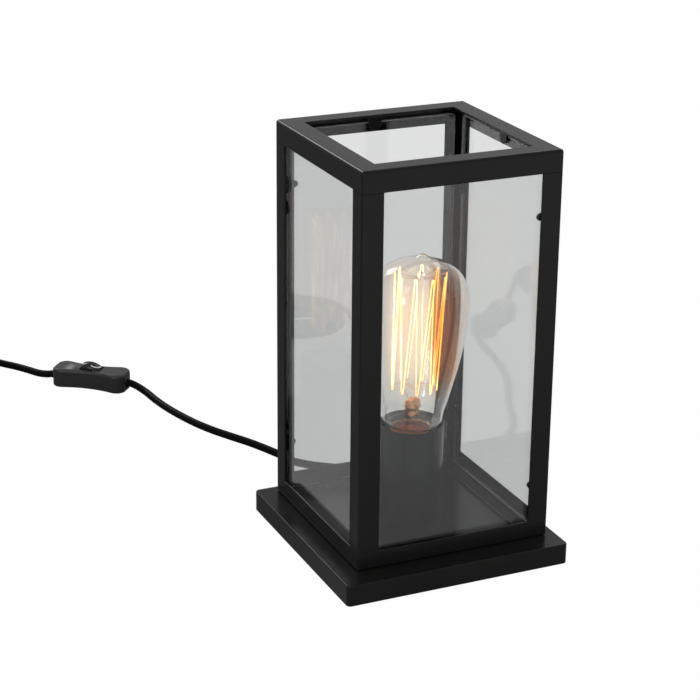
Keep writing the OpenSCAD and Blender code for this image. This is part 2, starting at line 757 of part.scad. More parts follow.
module bulb_glass() {
    last = len(glass_points) - 1;
    color([0.95, 0.85, 0.6, 0.3]) at_glass() rotate_extrude($fn = 64) polygon(concat(glass_points,
        [for (i = [last - 1:-1:0]) glass_inner[i][0] > 0.2 ? glass_inner[i] : [0, glass_inner[i][1]]]));
}

module bulb_stem() {
    flare = neck_r - glass_t - 0.3;
    head = cage_foot_z + cage_h;
    color([0.9, 0.92, 0.9, 0.5]) at_glass() {
        rotate_extrude() polygon([
            [flare, -2], [flare - 2.2, 0.6], [stem_r + 1, 4], [stem_r, 7.5], [stem_r, pinch_z + 1],
            [0, pinch_z + 1], [0, pinch_z], [stem_r - 1, pinch_z], [stem_r - 1, 7.5], [stem_r, 3.4],
            [flare - 3, 0], [flare - 1, -2]
        ]);
        translate([0, 0, pinch_z]) intersection() {
            cylinder(r1 = stem_r + 1.6, r2 = stem_r, h = pinch_h);
            translate([-2 * stem_r, -pinch_t / 2, 0]) cube([4 * stem_r, pinch_t, pinch_h]);
        }
        translate([0, 0, pinch_z + pinch_h - 1]) cylinder(r = stem_rod_r, h = head - pinch_z - pinch_h);
        translate([0, 0, cage_foot_z]) sphere(r = stem_rod_r + 1.4);
        translate([0, 0, head - 1]) sphere(r = stem_rod_r + 0.9);
    }
}

// Bend k of the filament: even ones at the cage's foot, odd ones at its head
function cage_node(k) =
    let (up = k % 2, a = 360 * k / (strands + 1) + 100, r = up == 1 ? cage_head_r : cage_foot_r)
    [r * cos(a), r * sin(a), cage_foot_z + up * cage_h];

// A round wire from a to b
module wire(a, b, d) {
    v = b - a;
    translate(a) rotate([0, acos(v[2] / norm(v)), atan2(v[1], v[0])]) cylinder(d = d, h = norm(v), $fn = 16);
}

// Hooks that carry the filament, from the buttons of the stem out through each bend
module filament_hooks()
    color([0.7, 0.68, 0.66]) at_glass() for (k = [1:strands - 1]) {
        p = cage_node(k);
        out = unit([p[0], p[1], 0]);
        lift = k % 2 == 1 ? -2.2 : 2.2;
        wire(out * (stem_rod_r + 0.6) + [0, 0, p[2] + lift], p + out * 0.6, hook_d);
    }

// Bend k of the filament, a half turn over its hook, as points in the order of the wire
function cage_bend(k) =
    let (p = cage_node(k), along = unit([-p[1], p[0], 0]), up = [0, 0, k % 2 == 1 ? 1 : -1])
    [for (a = [0:45:180]) p + bend_r * (sin(a) * up - cos(a) * along)];

filament_points = concat([cage_node(0)], [for (k = [1:strands - 1]) each cage_bend(k)], [cage_node(strands)]);

module filament()
    color([1, 0.72, 0.3]) at_glass() tube(filament_points, filament_d / 2, 6, undef);

// Lead-in wires from the pinch of the stem to the two ends of the filament
module lead_wires()
    color([0.75, 0.6, 0.45]) at_glass() for (k = [0, strands]) {
        end = cage_node(k);
        root = [(k == 0 ? -1 : 1) * (stem_r - 0.6), 0, pinch_z + pinch_h + seat_gap];
        tube(smooth([root, root + [0, 0.3, 1], [root[0], end[1] * 0.35, end[2] - 4.6],
            [(root[0] + 2 * end[0]) / 3, end[1] * 0.75, end[2] - 3.8], [end[0], end[1] - 0.4, end[2] - 2],
            end - [0, 0, 0.6], end - [0, 0, 0.05]], 3), hook_d / 2, 6, [1, 0, 0]);
    }

// ---- Switch -------------------------------------------------------------------------------------

module at_switch() translate([switch_at[0], switch_at[1], 0]) rotate(switch_turn) children();

// Plan of the switch, drawn in by g all round: round corners and hollow long sides
module switch_plan(g) {
    chord = switch_l - 2 * switch_corner_r - 4;
    bow = (chord * chord / 4 + switch_waist * switch_waist) / (2 * switch_waist);
    difference() {
        rounded_rect(switch_l - 2 * g, switch_w - 2 * g, switch_corner_r - g);
        for (y = [-1, 1]) translate([0, y * (switch_w / 2 - switch_waist + bow)])
            circle(bow + g, $fn = 160);
    }
}

module switch_bores() {
    for (x = [-1, 1]) translate([x * switch_l / 2, 0, switch_part_z]) rotate([0, 90, 0])
        cylinder(d = switch_bore_d, h = 4 * switch_t, center = true);
}

module at_switch_screws()
    for (s = [-1, 1]) translate([s * switch_screw_at[0], s * switch_screw_at[1], 0]) children();

module switch_base() {
    edge = 0.8;
    color([0.12, 0.12, 0.13]) at_switch() difference() {
        union() {
            difference() {
                union() {
                    translate([0, 0, edge]) linear_extrude(switch_part_z - edge) switch_plan(0);
                    translate([0, 0, edge]) mirror([0, 0, 1]) linear_extrude(edge, slices = 1,
                        scale = [1 - 2 * edge / switch_l, 1 - 2 * edge / switch_w]) switch_plan(0);
                }
                translate([0, 0, switch_t]) linear_extrude(switch_part_z) switch_plan(switch_t);
            }
            at_switch_screws() translate([0, 0, switch_t / 2])
                cylinder(r = 3, h = switch_part_z - switch_t / 2);
        }
        switch_bores();
        at_switch_screws() countersunk_hole(switch_screw_d, switch_part_z + over, 1.4);
    }
}

module switch_cover() {
    edge = 1.2;
    top = switch_h - switch_part_z;
    lug_y = rocker_w / 2 + slide_gap;
    color([0.14, 0.14, 0.15]) at_switch() difference() {
        union() {
            difference() {
                translate([0, 0, switch_part_z]) {
                    linear_extrude(top - edge) switch_plan(0);
                    translate([0, 0, top - edge]) linear_extrude(edge, slices = 1,
                        scale = [1 - 1.4 * edge / switch_l, 1 - 1.4 * edge / switch_w]) switch_plan(0);
                }
                translate([0, 0, switch_part_z - over])
                    linear_extrude(top - switch_t + over) switch_plan(switch_t);
            }
            at_switch_screws() translate([0, 0, switch_part_z]) cylinder(r = 3, h = top - switch_t / 2);
            for (y = [-1, 1]) translate([-3.5, y * (lug_y + lug_t / 2) - lug_t / 2, rocker_pivot_z - 2])
                cube([7, lug_t, switch_h - switch_t / 2 - rocker_pivot_z + 2]);
        }
        switch_bores();
        at_switch_screws() translate([0, 0, switch_part_z - over])
            cylinder(r = switch_screw_d / 2 + fit_gap, h = over + 5.2);
        translate([-rocker_reach - slide_gap, -lug_y, switch_part_z])
            cube([2 * (rocker_reach + slide_gap), 2 * lug_y, top + over]);
        translate([0, 0, rocker_pivot_z]) rotate([90, 0, 0])
            cylinder(r = rocker_pin_d / 2 + fit_gap, h = 2 * (lug_y + lug_t) + 0.1, center = true);
    }
}

// Upright outline w wide with a domed top of radius r, from low under the pin to top above it
module domed(w, r, low, top) {
    intersection() {
        translate([-w / 2, -low]) square([w, low + top]);
        translate([0, top - r]) circle(r, $fn = 96);
    }
}

// The rocker turns about its pin: a cap domed along and across
module switch_rocker() {
    top = switch_h - rocker_pivot_z + rocker_rise;
    low = 2.6;
    color([0.1, 0.1, 0.11]) at_switch()
    translate([0, 0, rocker_pivot_z]) rotate([0, rocker_tilt, 0]) difference() {
        intersection() {
            translate([0, rocker_w / 2, 0]) rotate([90, 0, 0]) linear_extrude(rocker_w)
                domed(rocker_l, rocker_dome_r, low, top);
            translate([-rocker_l / 2, 0, 0]) rotate([90, 0, 90]) linear_extrude(rocker_l)
                domed(rocker_w, rocker_crown_r, low, top);
        }
        rotate([90, 0, 0]) cylinder(r = rocker_pin_d / 2 + fit_gap, h = rocker_w + 2 * over, center = true);
    }
}

module rocker_pin()
    color([0.7, 0.7, 0.72]) at_switch() translate([0, 0, rocker_pivot_z]) rotate([90, 0, 0])
        cylinder(d = rocker_pin_d, h = 2 * (rocker_w / 2 + slide_gap + lug_t), center = true);

// Two brass terminals and the fixed contacts that reach in under the rocker
module switch_contacts()
    color([0.82, 0.65, 0.3]) at_switch() for (s = [-1, 1]) {
        translate([s * 18.5 - 1.5, -s * 5 - 2.5, switch_t]) cube([3, 5, 4]);
        translate([s > 0 ? 4 : -17.1, -s * 5 - 1, switch_t]) cube([13.1, 2, 0.8]);
        translate([s * 4.6 - 0.6, -s * 5 - 1, switch_t]) cube([1.2, 2, 3]);
    }

module switch_screws()
    color([0.7, 0.7, 0.72]) at_switch() at_switch_screws()
        countersunk(switch_screw_d, switch_part_z + 4, 1.4);

// ---- Cord -----------------------------------------------------------------------------------------

function in_switch(x) = [
    switch_at[0] + x * cos(switch_turn), switch_at[1] + x * sin(switch_turn), switch_part_z];

lamp_points = smooth(concat(
    [[0, gland_end_y, cord_z], [0, gland_end_y + 2, cord_z - 0.05]], route_lamp,
    [in_switch(switch_l / 2 + 3), in_switch(switch_l / 2 - 0.5),
        in_switch(switch_l / 2 - cord_in_switch)]), 2);

// Radius of the wound cord s turns from its start: in, round the inner half turn, and out again
function coil_radius(s) =
    s < coil_turns ? coil_r - coil_step * s :
    s > coil_turns + 0.5 ? coil_r - coil_step * (coil_total - s) :
    let (x = s - coil_turns) coil_r - coil_step * (coil_turns + x - 2 * x * x);
function coil_height(s) =
    let (x = min(1, max(0, 2 * (s - coil_turns)))) coil_low_z + coil_layer * x * x * (3 - 2 * x);
function coil_point(s) = let (a = coil_start + 360 * s, r = coil_radius(s))
    [coil_at[0] + r * cos(a), coil_at[1] + r * sin(a), coil_height(s)];
coil_steps = floor(coil_total * coil_rings);
coil_run = [for (i = [0:coil_steps]) coil_point(i * coil_total / coil_steps)];
coil_in = [-sin(coil_start), cos(coil_start), 0];
coil_out = [-sin(coil_end), cos(coil_end), 0];
coil_points = concat([coil_run[0] - cord_d * coil_in], coil_run, [coil_run[coil_steps] + cord_d * coil_out]);

coil_gap = min([for (i = [0:coil_steps], j = [i + 10:1:coil_steps])
    norm(coil_run[i] - coil_run[j])]) - cord_d;
echo(str("least gap of the wound cord to itself: ", coil_gap, " mm"));
assert(coil_gap > 0.4, "the wound cord's turns touch");

supply_points = smooth(concat(
    [in_switch(-switch_l / 2 + cord_in_switch), in_switch(-switch_l / 2 + 0.5), in_switch(-switch_l / 2 - 4)],
    route_supply, [coil_points[0] - 3 * coil_in, coil_points[0]]), 2);

tail_start = coil_points[len(coil_points) - 1];
plug_z = plug_t / 2;
plug_end = [tail_start[0], tail_start[1] - plug_rear_gap, plug_z];
tail_points = smooth([
    tail_start, tail_start + 3 * coil_out, tail_start + 6 * coil_out, tail_start + [0, -11.5, -0.9],
    plug_end + [0, 12.5, 0.9], plug_end + [0, 6, 0], plug_end + [0, 3, 0], plug_end
], 2);

echo(str("cord: lamp to switch ", length_of(lamp_points), ", switch to coil ", length_of(supply_points),
    ", coil ", length_of(coil_points), ", coil to plug ", length_of(tail_points)));

module cord_colour() color([0.1, 0.1, 0.1]) children();
module cord_lamp() cord_colour() tube(lamp_points, cord_r);
module cord_supply() cord_colour() tube(supply_points, cord_r);
module cord_coil() cord_colour() tube(coil_points, cord_r, 6);
module cord_tail() cord_colour() tube(tail_points, cord_r);

// Tie round the bundle of turns, a flat band closed on itself
module cord_tie() {
    first = (tie_angle - coil_start) / 360;
    outer = coil_radius(first) + cord_r + slide_gap;
    inner_turn = coil_radius(first + floor(coil_turns - first)) - cord_r;
    sag = inner_turn - sqrt(inner_turn * inner_turn - tie_w * tie_w / 4);
    drift = coil_step * tie_w / 2 / (2 * PI * inner_turn);
    inner = inner_turn - sag - drift - slide_gap;
    high = coil_low_z + coil_layer + cord_r + slide_gap;
    low = coil_low_z - cord_r - slide_gap;
    color([0.15, 0.15, 0.16]) translate([coil_at[0], coil_at[1], 0]) rotate([90, 0, tie_angle])
        translate([(outer + inner) / 2, (high + low) / 2, 0])
        linear_extrude(tie_w, center = true) difference() {
            rounded_rect(outer - inner + 2 * tie_t, high - low + 2 * tie_t, 2 + tie_t);
            rounded_rect(outer - inner, high - low, 2);
        }
}

// ---- Plug ---------------------------------------------------------------------------------------------

module at_plug() translate(plug_end) rotate([90, 0, 0]) children();

module plug_body() {
    front = plug_tail_l + plug_l;
    color([0.11, 0.11, 0.11]) at_plug() {
        rotate_extrude() polygon(concat([[0, 0], [cord_r + 0.9, 0]],
            [for (i = [0:4]) let (z = plug_tail_l * (0.5 + i) / 5.5, r = cord_r + 1 + 1.5 * i / 4)
                each [[r, z], [r, z + 1.7], [r - 0.7, z + 2], [r - 0.7, z + 2.9]]],
            [[0, plug_tail_l]]));
        hull() {
            translate([0, 0, plug_tail_l - 1.5]) cylinder(d = cord_d + 5, h = 1, $fn = 32);
            translate([0, 0, front - 14]) linear_extrude(12.6) rounded_rect(plug_w, plug_t, 4, $fn = 32);
            translate([0, 0, front - 14])
                linear_extrude(14) rounded_rect(plug_w - 2.4, plug_t - 2.4, 3, $fn = 32);
        }
    }
}

module plug_pins() {
    sleeve_l = plug_pin_l - 10;
    color([0.8, 0.78, 0.75]) at_plug() for (x = [-1, 1])
        translate([x * plug_pin_gap / 2, 0, plug_tail_l + plug_l]) {
            cylinder(d = plug_pin_d - 0.2, h = sleeve_l);
            translate([0, 0, sleeve_l]) cylinder(d = plug_pin_d, h = 10 - plug_pin_d / 2);
            translate([0, 0, plug_pin_l - plug_pin_d / 2]) sphere(d = plug_pin_d);
        }
}

// ---- Drawing --------------------------------------------------------------------------------------------

base_tray();
bottom_cover();
foot_pads();
cover_screws();
frame_screws();
cord_gland();
cord_inlet();
cord_clamp();
clamp_screws();
core_wires();
at_side(0) post();  // post_front_left
at_side(1) post();  // post_front_right
at_side(2) post();  // post_back_right
at_side(3) post();  // post_back_left
at_side(0) top_rail();  // top_rail_front
at_side(1) top_rail();  // top_rail_right
at_side(2) top_rail();  // top_rail_back
at_side(3) top_rail();  // top_rail_left
at_side(0) low_rail(true);  // low_rail_front
at_side(1) low_rail(false);  // low_rail_right
at_side(2) low_rail(true);  // low_rail_back
at_side(3) low_rail(false);  // low_rail_left
at_side(0) pane();  // glass_front
at_side(1) pane();  // glass_right
at_side(2) pane();  // glass_back
at_side(3) pane();  // glass_left
at_side(0) pane_clips(0);  // clips_front
at_side(1) pane_clips(clip_step);  // clips_right
at_side(2) pane_clips(0);  // clips_back
at_side(3) pane_clips(clip_step);  // clips_left
holder_sleeve();
threaded_rod();
rod_nuts();
holder_body();
thread_shell();
centre_contact();
terminal_screws();
bulb_cap();
cap_cement();
cap_insulator();
cap_contact();
bulb_glass();
bulb_stem();
lead_wires();
filament_hooks();
filament();
cord_lamp();
switch_base();
switch_cover();
switch_rocker();
rocker_pin();
switch_contacts();
switch_screws();
cord_supply();
cord_coil();
cord_tie();
cord_tail();
plug_body();
plug_pins();
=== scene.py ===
"""Dressed model of a square lantern table lamp with a filament bulb and a switch on its cord.

Every length is in millimetres in the row frame until it reaches a mesh, which is in metres.
"""

from __future__ import annotations

import json
import logging
import math
from dataclasses import dataclass, field
from enum import Enum
from typing import Any, Callable, Iterable, Sequence

import bmesh
import bpy
from mathutils import Matrix, Vector, noise

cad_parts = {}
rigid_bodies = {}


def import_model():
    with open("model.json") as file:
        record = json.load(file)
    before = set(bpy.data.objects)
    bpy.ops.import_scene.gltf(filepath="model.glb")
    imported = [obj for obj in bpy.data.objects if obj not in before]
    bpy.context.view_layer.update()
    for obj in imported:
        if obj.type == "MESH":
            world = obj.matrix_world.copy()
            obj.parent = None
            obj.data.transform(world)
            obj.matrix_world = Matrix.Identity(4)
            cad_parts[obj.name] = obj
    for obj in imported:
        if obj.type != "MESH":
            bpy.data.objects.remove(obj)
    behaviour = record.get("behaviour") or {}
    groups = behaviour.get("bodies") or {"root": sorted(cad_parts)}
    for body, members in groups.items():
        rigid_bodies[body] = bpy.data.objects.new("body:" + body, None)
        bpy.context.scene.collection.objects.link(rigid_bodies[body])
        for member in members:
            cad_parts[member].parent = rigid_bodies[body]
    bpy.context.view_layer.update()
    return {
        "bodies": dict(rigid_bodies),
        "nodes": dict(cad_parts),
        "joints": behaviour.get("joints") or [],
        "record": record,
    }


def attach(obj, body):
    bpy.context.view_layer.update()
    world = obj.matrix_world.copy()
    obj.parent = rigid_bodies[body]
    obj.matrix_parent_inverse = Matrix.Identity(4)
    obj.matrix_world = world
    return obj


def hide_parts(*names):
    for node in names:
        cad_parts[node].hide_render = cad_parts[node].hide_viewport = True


LOG = logging.getLogger("lantern_lamp")
MM = 0.001
MERGE_AT = 2e-7
SLIVER = 1e-8
Colour = tuple[float, float, float]
Point = tuple[float, float, float]
Flat = tuple[float, float]
Loop = list[Vector]
Object = bpy.types.Object
Solids = dict[str, Object]
NodeTree = bpy.types.NodeTree
Socket = bpy.types.NodeSocket
BLACK: Colour = (0.0, 0.0, 0.0)
WHITE: Colour = (1.0, 1.0, 1.0)


class Body(Enum):
    """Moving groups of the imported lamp."""

    LAMP = "lamp"
    ROCKER = "rocker"
    BULB_LIFT = "bulb_lift"
    BULB = "bulb"


class Slot(Enum):
    """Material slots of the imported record."""

    PAINT = "black_paint"
    COVER = "cover_steel"
    RUBBER = "rubber"
    STEEL = "plated_steel"
    MOULDING = "moulding"
    ROCKER = "rocker_gloss"
    SHEATH = "cord_sheath"
    CORES = "core_insulation"
    PANES = "pane_glass"
    RESIN = "holder_resin"
    BRASS = "brass"
    CEMENT = "cement"
    VITRITE = "cap_glass"
    NICKEL = "nickel"
    BULB = "bulb_glass"
    STEM = "stem_glass"
    FILAMENT = "filament"


# ---- Shader trees ----


class Wire:
    """An output socket of a shader tree. Arithmetic on it adds Math nodes."""

    def __init__(self, tree: NodeTree, socket: Socket) -> None:
        """Keeps the tree and the socket."""
        self.tree = tree
        self.socket = socket

    def math(self, operation: str, *values: Wire | float) -> Wire:
        """Adds a Math node.

        Args:
            operation: the node's operation.
            values: what goes into its sockets, in order.

        Returns:
            The node's output.
        """
        node = self.tree.nodes.new("ShaderNodeMath")
        node.operation = operation
        for socket, value in zip(node.inputs, values):
            plug(self.tree, socket, value)
        return Wire(self.tree, node.outputs[0])

    def __add__(self, other: Wire | float) -> Wire:
        """Sum."""
        return self.math("ADD", self, other)

    __radd__ = __add__

    def __sub__(self, other: Wire | float) -> Wire:
        """Difference."""
        return self.math("SUBTRACT", self, other)

    def __rsub__(self, other: Wire | float) -> Wire:
        """Difference, with the number first."""
        return self.math("SUBTRACT", other, self)

    def __mul__(self, other: Wire | float) -> Wire:
        """Product."""
        return self.math("MULTIPLY", self, other)

    __rmul__ = __mul__

    def __truediv__(self, other: Wire | float) -> Wire:
        """Quotient."""
        return self.math("DIVIDE", self, other)

    def __rtruediv__(self, other: Wire | float) -> Wire:
        """Quotient, with the number first."""
        return self.math("DIVIDE", other, self)

    def above(self, edge: float) -> Wire:
        """1 where the value is over edge, else 0."""
        return self.math("GREATER_THAN", self, edge)

    def largest(self, other: Wire | float) -> Wire:
        """The larger of the two."""
        return self.math("MAXIMUM", self, other)


def plug(tree: NodeTree, socket: Socket, value: Any) -> None:
    """Links a Wire to a socket, or sets the socket's own value.

    Args:
        tree: the node tree.
        socket: the input to fill.
        value: a Wire, a number, or a colour or vector as a tuple.
    """
    if isinstance(value, Wire):
        tree.links.new(value.socket, socket)
    elif isinstance(value, tuple) and socket.type == "RGBA":
        socket.default_value = (*value, 1.0)[:4]
    else:
        socket.default_value = value


class Recipe:
    """Builds the nodes of one shader tree."""

    def __init__(self, tree: NodeTree) -> None:
        """Empties the tree and keeps it."""
        tree.nodes.clear()
        self.tree = tree

    def node(self, kind: str, settings: dict[str, Any] | None = None, inputs: dict[Any, Any] | None = None,
             out: Any = 0) -> Wire:
        """Adds a node.

        Args:
            kind: the node's type, without its ShaderNode prefix.
            settings: properties, which are set first.
            inputs: values or Wires by socket name or number.
            out: name or number of the output that is returned.

        Returns:
            That output.
        """
        node = self.tree.nodes.new("ShaderNode" + kind)
        for key, value in (settings or {}).items():
            setattr(node, key, value)
        for key, value in (inputs or {}).items():
            plug(self.tree, node.inputs[key], value)
        return Wire(self.tree, node.outputs[out])

    def place(self, stretch: Point = (1.0, 1.0, 1.0), centre: Point = (0.0, 0.0, 0.0)) -> Wire:
        """Object coordinates in metres, moved so that centre is the origin and scaled by stretch.

        Args:
            stretch: scale along each axis.
            centre: the new origin.

        Returns:
            The coordinates.
        """
        here = self.node("TexCoord", out="Object")
        moved = self.node("VectorMath", {"operation": "SUBTRACT"}, {0: here, 1: centre})
        return self.node("VectorMath", {"operation": "MULTIPLY"}, {0: moved, 1: stretch})

    def along(self, place: Wire, direction: Point) -> Wire:
        """How far a place lies along a direction."""
        return self.node("VectorMath", {"operation": "DOT_PRODUCT"}, {0: place, 1: direction}, 1)

    def noise(self, scale: float, detail: float = 2.0, at: Wire | None = None) -> Wire:
        """Noise from 0 to 1 with features of about 1 / scale metres."""
        return self.node("TexNoise", inputs={
            "Vector": at or self.place(), "Scale": scale, "Detail": detail, "Roughness": 0.55})

    def ramp(self, value: Wire, stops: Sequence[tuple[float, Colour]]) -> Wire:
        """A colour ramp.

        Args:
            value: what goes in.
            stops: positions and colours.

        Returns:
            The colour.
        """
        wire = self.node("ValToRGB", inputs={"Fac": value})
        elements = wire.socket.node.color_ramp.elements
        for i, (position, colour) in enumerate(stops):
            element = elements[i] if i < 2 else elements.new(position)
            element.position, element.color = position, (*colour, 1.0)
        return wire

    def blend(self, share: Wire | float, first: Wire | Colour, second: Wire | Colour) -> Wire:
        """Mixes two colours by share."""
        return self.node("Mix", {"data_type": "RGBA"}, {0: share, 6: first, 7: second}, 2)

    def bump(self, height: Wire, distance: float) -> Wire:
        """A normal from a height, with distance in millimetres."""
        return self.node("Bump", inputs={"Height": height, "Distance": distance * MM, "Strength": 1.0})

    def surface(self, inputs: dict[str, Any]) -> Wire:
        """A Principled BSDF with these inputs."""
        return self.node("BsdfPrincipled", inputs=inputs)

    def close(self, shader: Wire, kind: str = "OutputMaterial") -> None:
        """Ends the tree in its output."""
        output = self.tree.nodes.new("ShaderNode" + kind)
        self.tree.links.new(shader.socket, output.inputs["Surface"])


def shade(colour: Colour, factor: float) -> Colour:
    """The colour times factor."""
    return tuple(min(1.0, c * factor) for c in colour)  # type: ignore[return-value]


# ---- Finishes ----


@dataclass(frozen=True)
class Finish:
    """A named finish, built once.

    Attributes:
        name: the material's name.
        slot: the record's slot that it belongs to.
        colour: main colour, linear.
        roughness: middle roughness.
    """

    name: str
    slot: Slot
    colour: Colour
    roughness: float

    def dress(self, r: Recipe) -> Wire:
        """Builds the shader; each kind of finish has its own.

        Args:
            r: the shader tree.

        Returns:
            The shader.
        """
        raise NotImplementedError

    def material(self) -> bpy.types.Material:
        """The material, made at its first use.

        Returns:
            The material.
        """
        made = bpy.data.materials.get(self.name)
        if made is None:
            made = bpy.data.materials.new(self.name)
            made.use_nodes = True
            recipe = Recipe(made.node_tree)
            recipe.close(self.dress(recipe))
            made.diffuse_color = (*self.colour, 1.0)
        return made


@dataclass(frozen=True)
class Paint(Finish):
    """Satin black coat with a faint orange-peel texture and patches of sheen.

    Attributes:
        ior: how strongly it mirrors.
        peel: height of the peel in millimetres.
        peel_scale: how fine it is.
        patch_scale: how fine the patches are.
        patch_sheen: how far the roughness drifts.
    """

    ior: float = 1.22
    peel: float = 0.012
    peel_scale: float = 900.0
    patch_scale: float = 22.0
    patch_sheen: float = 0.06

    def dress(self, r: Recipe) -> Wire:
        """Colour and roughness drift over the part, and a fine peel bends the normal.

        Args:
            r: the shader tree.

        Returns:
            The shader.
        """
        patch = r.noise(self.patch_scale, 3.0)
        inputs: dict[str, Any] = {
            "Base Color": r.blend(patch, shade(self.colour, 0.8), shade(self.colour, 1.25)),
            "Roughness": patch * self.patch_sheen + (self.roughness - self.patch_sheen / 2),
            "IOR": self.ior,
        }
        if self.peel:
            inputs["Normal"] = r.bump(r.noise(self.peel_scale, 1.0), self.peel)
        return r.surface(inputs)


@dataclass(frozen=True)
class Glass(Finish):
    """Clear glass whose tint drifts by a trace.

    Attributes:
        drift_scale: how fine the drift is.
        ior: how strongly it bends light.
    """

    drift_scale: float = 9.0
    ior: float = 1.5

    def dress(self, r: Recipe) -> Wire:
        """One slow noise carries the tint's drift.

        Args:
            r: the shader tree.

        Returns:
            The shader.
        """
        drift = r.noise(self.drift_scale, 2.0)
        return r.surface({
            "Base Color": r.blend(drift, shade(self.colour, 0.985), self.colour),
            "Roughness": self.roughness,
            "IOR": self.ior,
            "Transmission Weight": 1.0,
        })


@dataclass(frozen=True)
class Metal(Finish):
    """Bare or plated metal with fine tool marks along one direction."""

    marks: Point = (900.0, 900.0, 60.0)
    mark_depth: float = 0.01
    mark_sheen: float = 0.16
    stain: Colour = (0.3, 0.2, 0.1)
    stain_scale: float = 160.0

    def dress(self, r: Recipe) -> Wire:
        """Tool marks vary the roughness, and a light stain sits in patches.

        Args:
            r: the shader tree.

        Returns:
            The shader.
        """
        lines = r.noise(1.0, 2.0, r.place(self.marks))
        patch = r.noise(self.stain_scale, 3.0)
        return r.surface({
            "Base Color": r.blend((patch - 0.45) * 0.8, self.colour, self.stain),
            "Metallic": 1.0,
            "Roughness": lines * self.mark_sheen + (self.roughness - self.mark_sheen / 2),
            "Normal": r.bump(lines, self.mark_depth),
        })


@dataclass(frozen=True)
class Moulding(Finish):
    """Moulded plastic or rubber with a fine spark-eroded grain."""

    grain: float = 0.01
    grain_scale: float = 1500.0
    handled_scale: float = 60.0
    ior: float = 1.35

    def dress(self, r: Recipe) -> Wire:
        """A fine grain, and sheen that drifts where it was handled.

        Args:
            r: the shader tree.

        Returns:
            The shader.
        """
        grain = r.noise(self.grain_scale, 2.0)
        handled = r.noise(self.handled_scale, 2.0)
        return r.surface({
            "Base Color": r.blend(handled, shade(self.colour, 0.85), shade(self.colour, 1.2)),
            "Roughness": handled * 0.12 + grain * 0.05 + (self.roughness - 0.08),
            "IOR": self.ior,
            "Normal": r.bump(grain, self.grain),
        })


@dataclass(frozen=True)
class HighlightedRocker(Moulding):
    """Glossy rocker with a painted highlight: one light arc towards its lower end.

    Attributes:
        centre: the arc's centre in metres.
        facing: where the arc's middle lies from there.
        ring: the arc's radius in millimetres.
        line: half the width of its line in millimetres.
        least: cosine of half the angle that it spans.
        highlight_colour: colour of the painted highlight.
    """

    centre: Point = (0.0, 0.0, 0.0)
    facing: Point = (1.0, 0.0, 0.0)
    ring: float = 4.35
    line: float = 0.45
    least: float = 0.45
    highlight_colour: Colour = (0.75, 0.75, 0.73)

    def dress(self, r: Recipe) -> Wire:
        """The arc is a narrow band of distances from its centre, on the side that facing points to.

        Args:
            r: the shader tree.

        Returns:
            The shader.
        """
        flat = r.place((1 / MM, 1 / MM, 0.0), self.centre)
        away = r.node("VectorMath", {"operation": "LENGTH"}, {0: flat}, 1)
        off = (away - self.ring).math("ABSOLUTE", away - self.ring)
        # Painted highlight: a light arc, drawn where light would catch the rocker's rim.
        painted_highlight = (1.0 - off.above(self.line)) * (r.along(flat, self.facing) / away).above(self.least)
        grain = r.noise(self.grain_scale, 2.0)
        return r.surface({
            "Base Color": r.blend(painted_highlight, self.colour, self.highlight_colour),
            "Roughness": grain * 0.08 + self.roughness + painted_highlight * 0.2,
            "IOR": self.ior,
            "Normal": r.bump(grain, self.grain),
        })


@dataclass(frozen=True)
class Cement(Finish):
    """Baked basing cement: crumbly, orange-brown."""

    lump_scale: float = 350.0
    crumb_scale: float = 2200.0
    depth: float = 0.15

    def dress(self, r: Recipe) -> Wire:
        """Colour and height come from one coarse and one fine noise.

        Args:
            r: the shader tree.

        Returns:
            The shader.
        """
        coarse, fine = r.noise(self.lump_scale, 4.0), r.noise(self.crumb_scale, 3.0)
        return r.surface({
            "Base Color": r.ramp(coarse, [(0.25, shade(self.colour, 0.45)), (0.75, shade(self.colour, 1.4))]),
            "Roughness": fine * 0.2 + self.roughness,
            "Normal": r.bump(coarse + fine * 0.5, self.depth),
        })


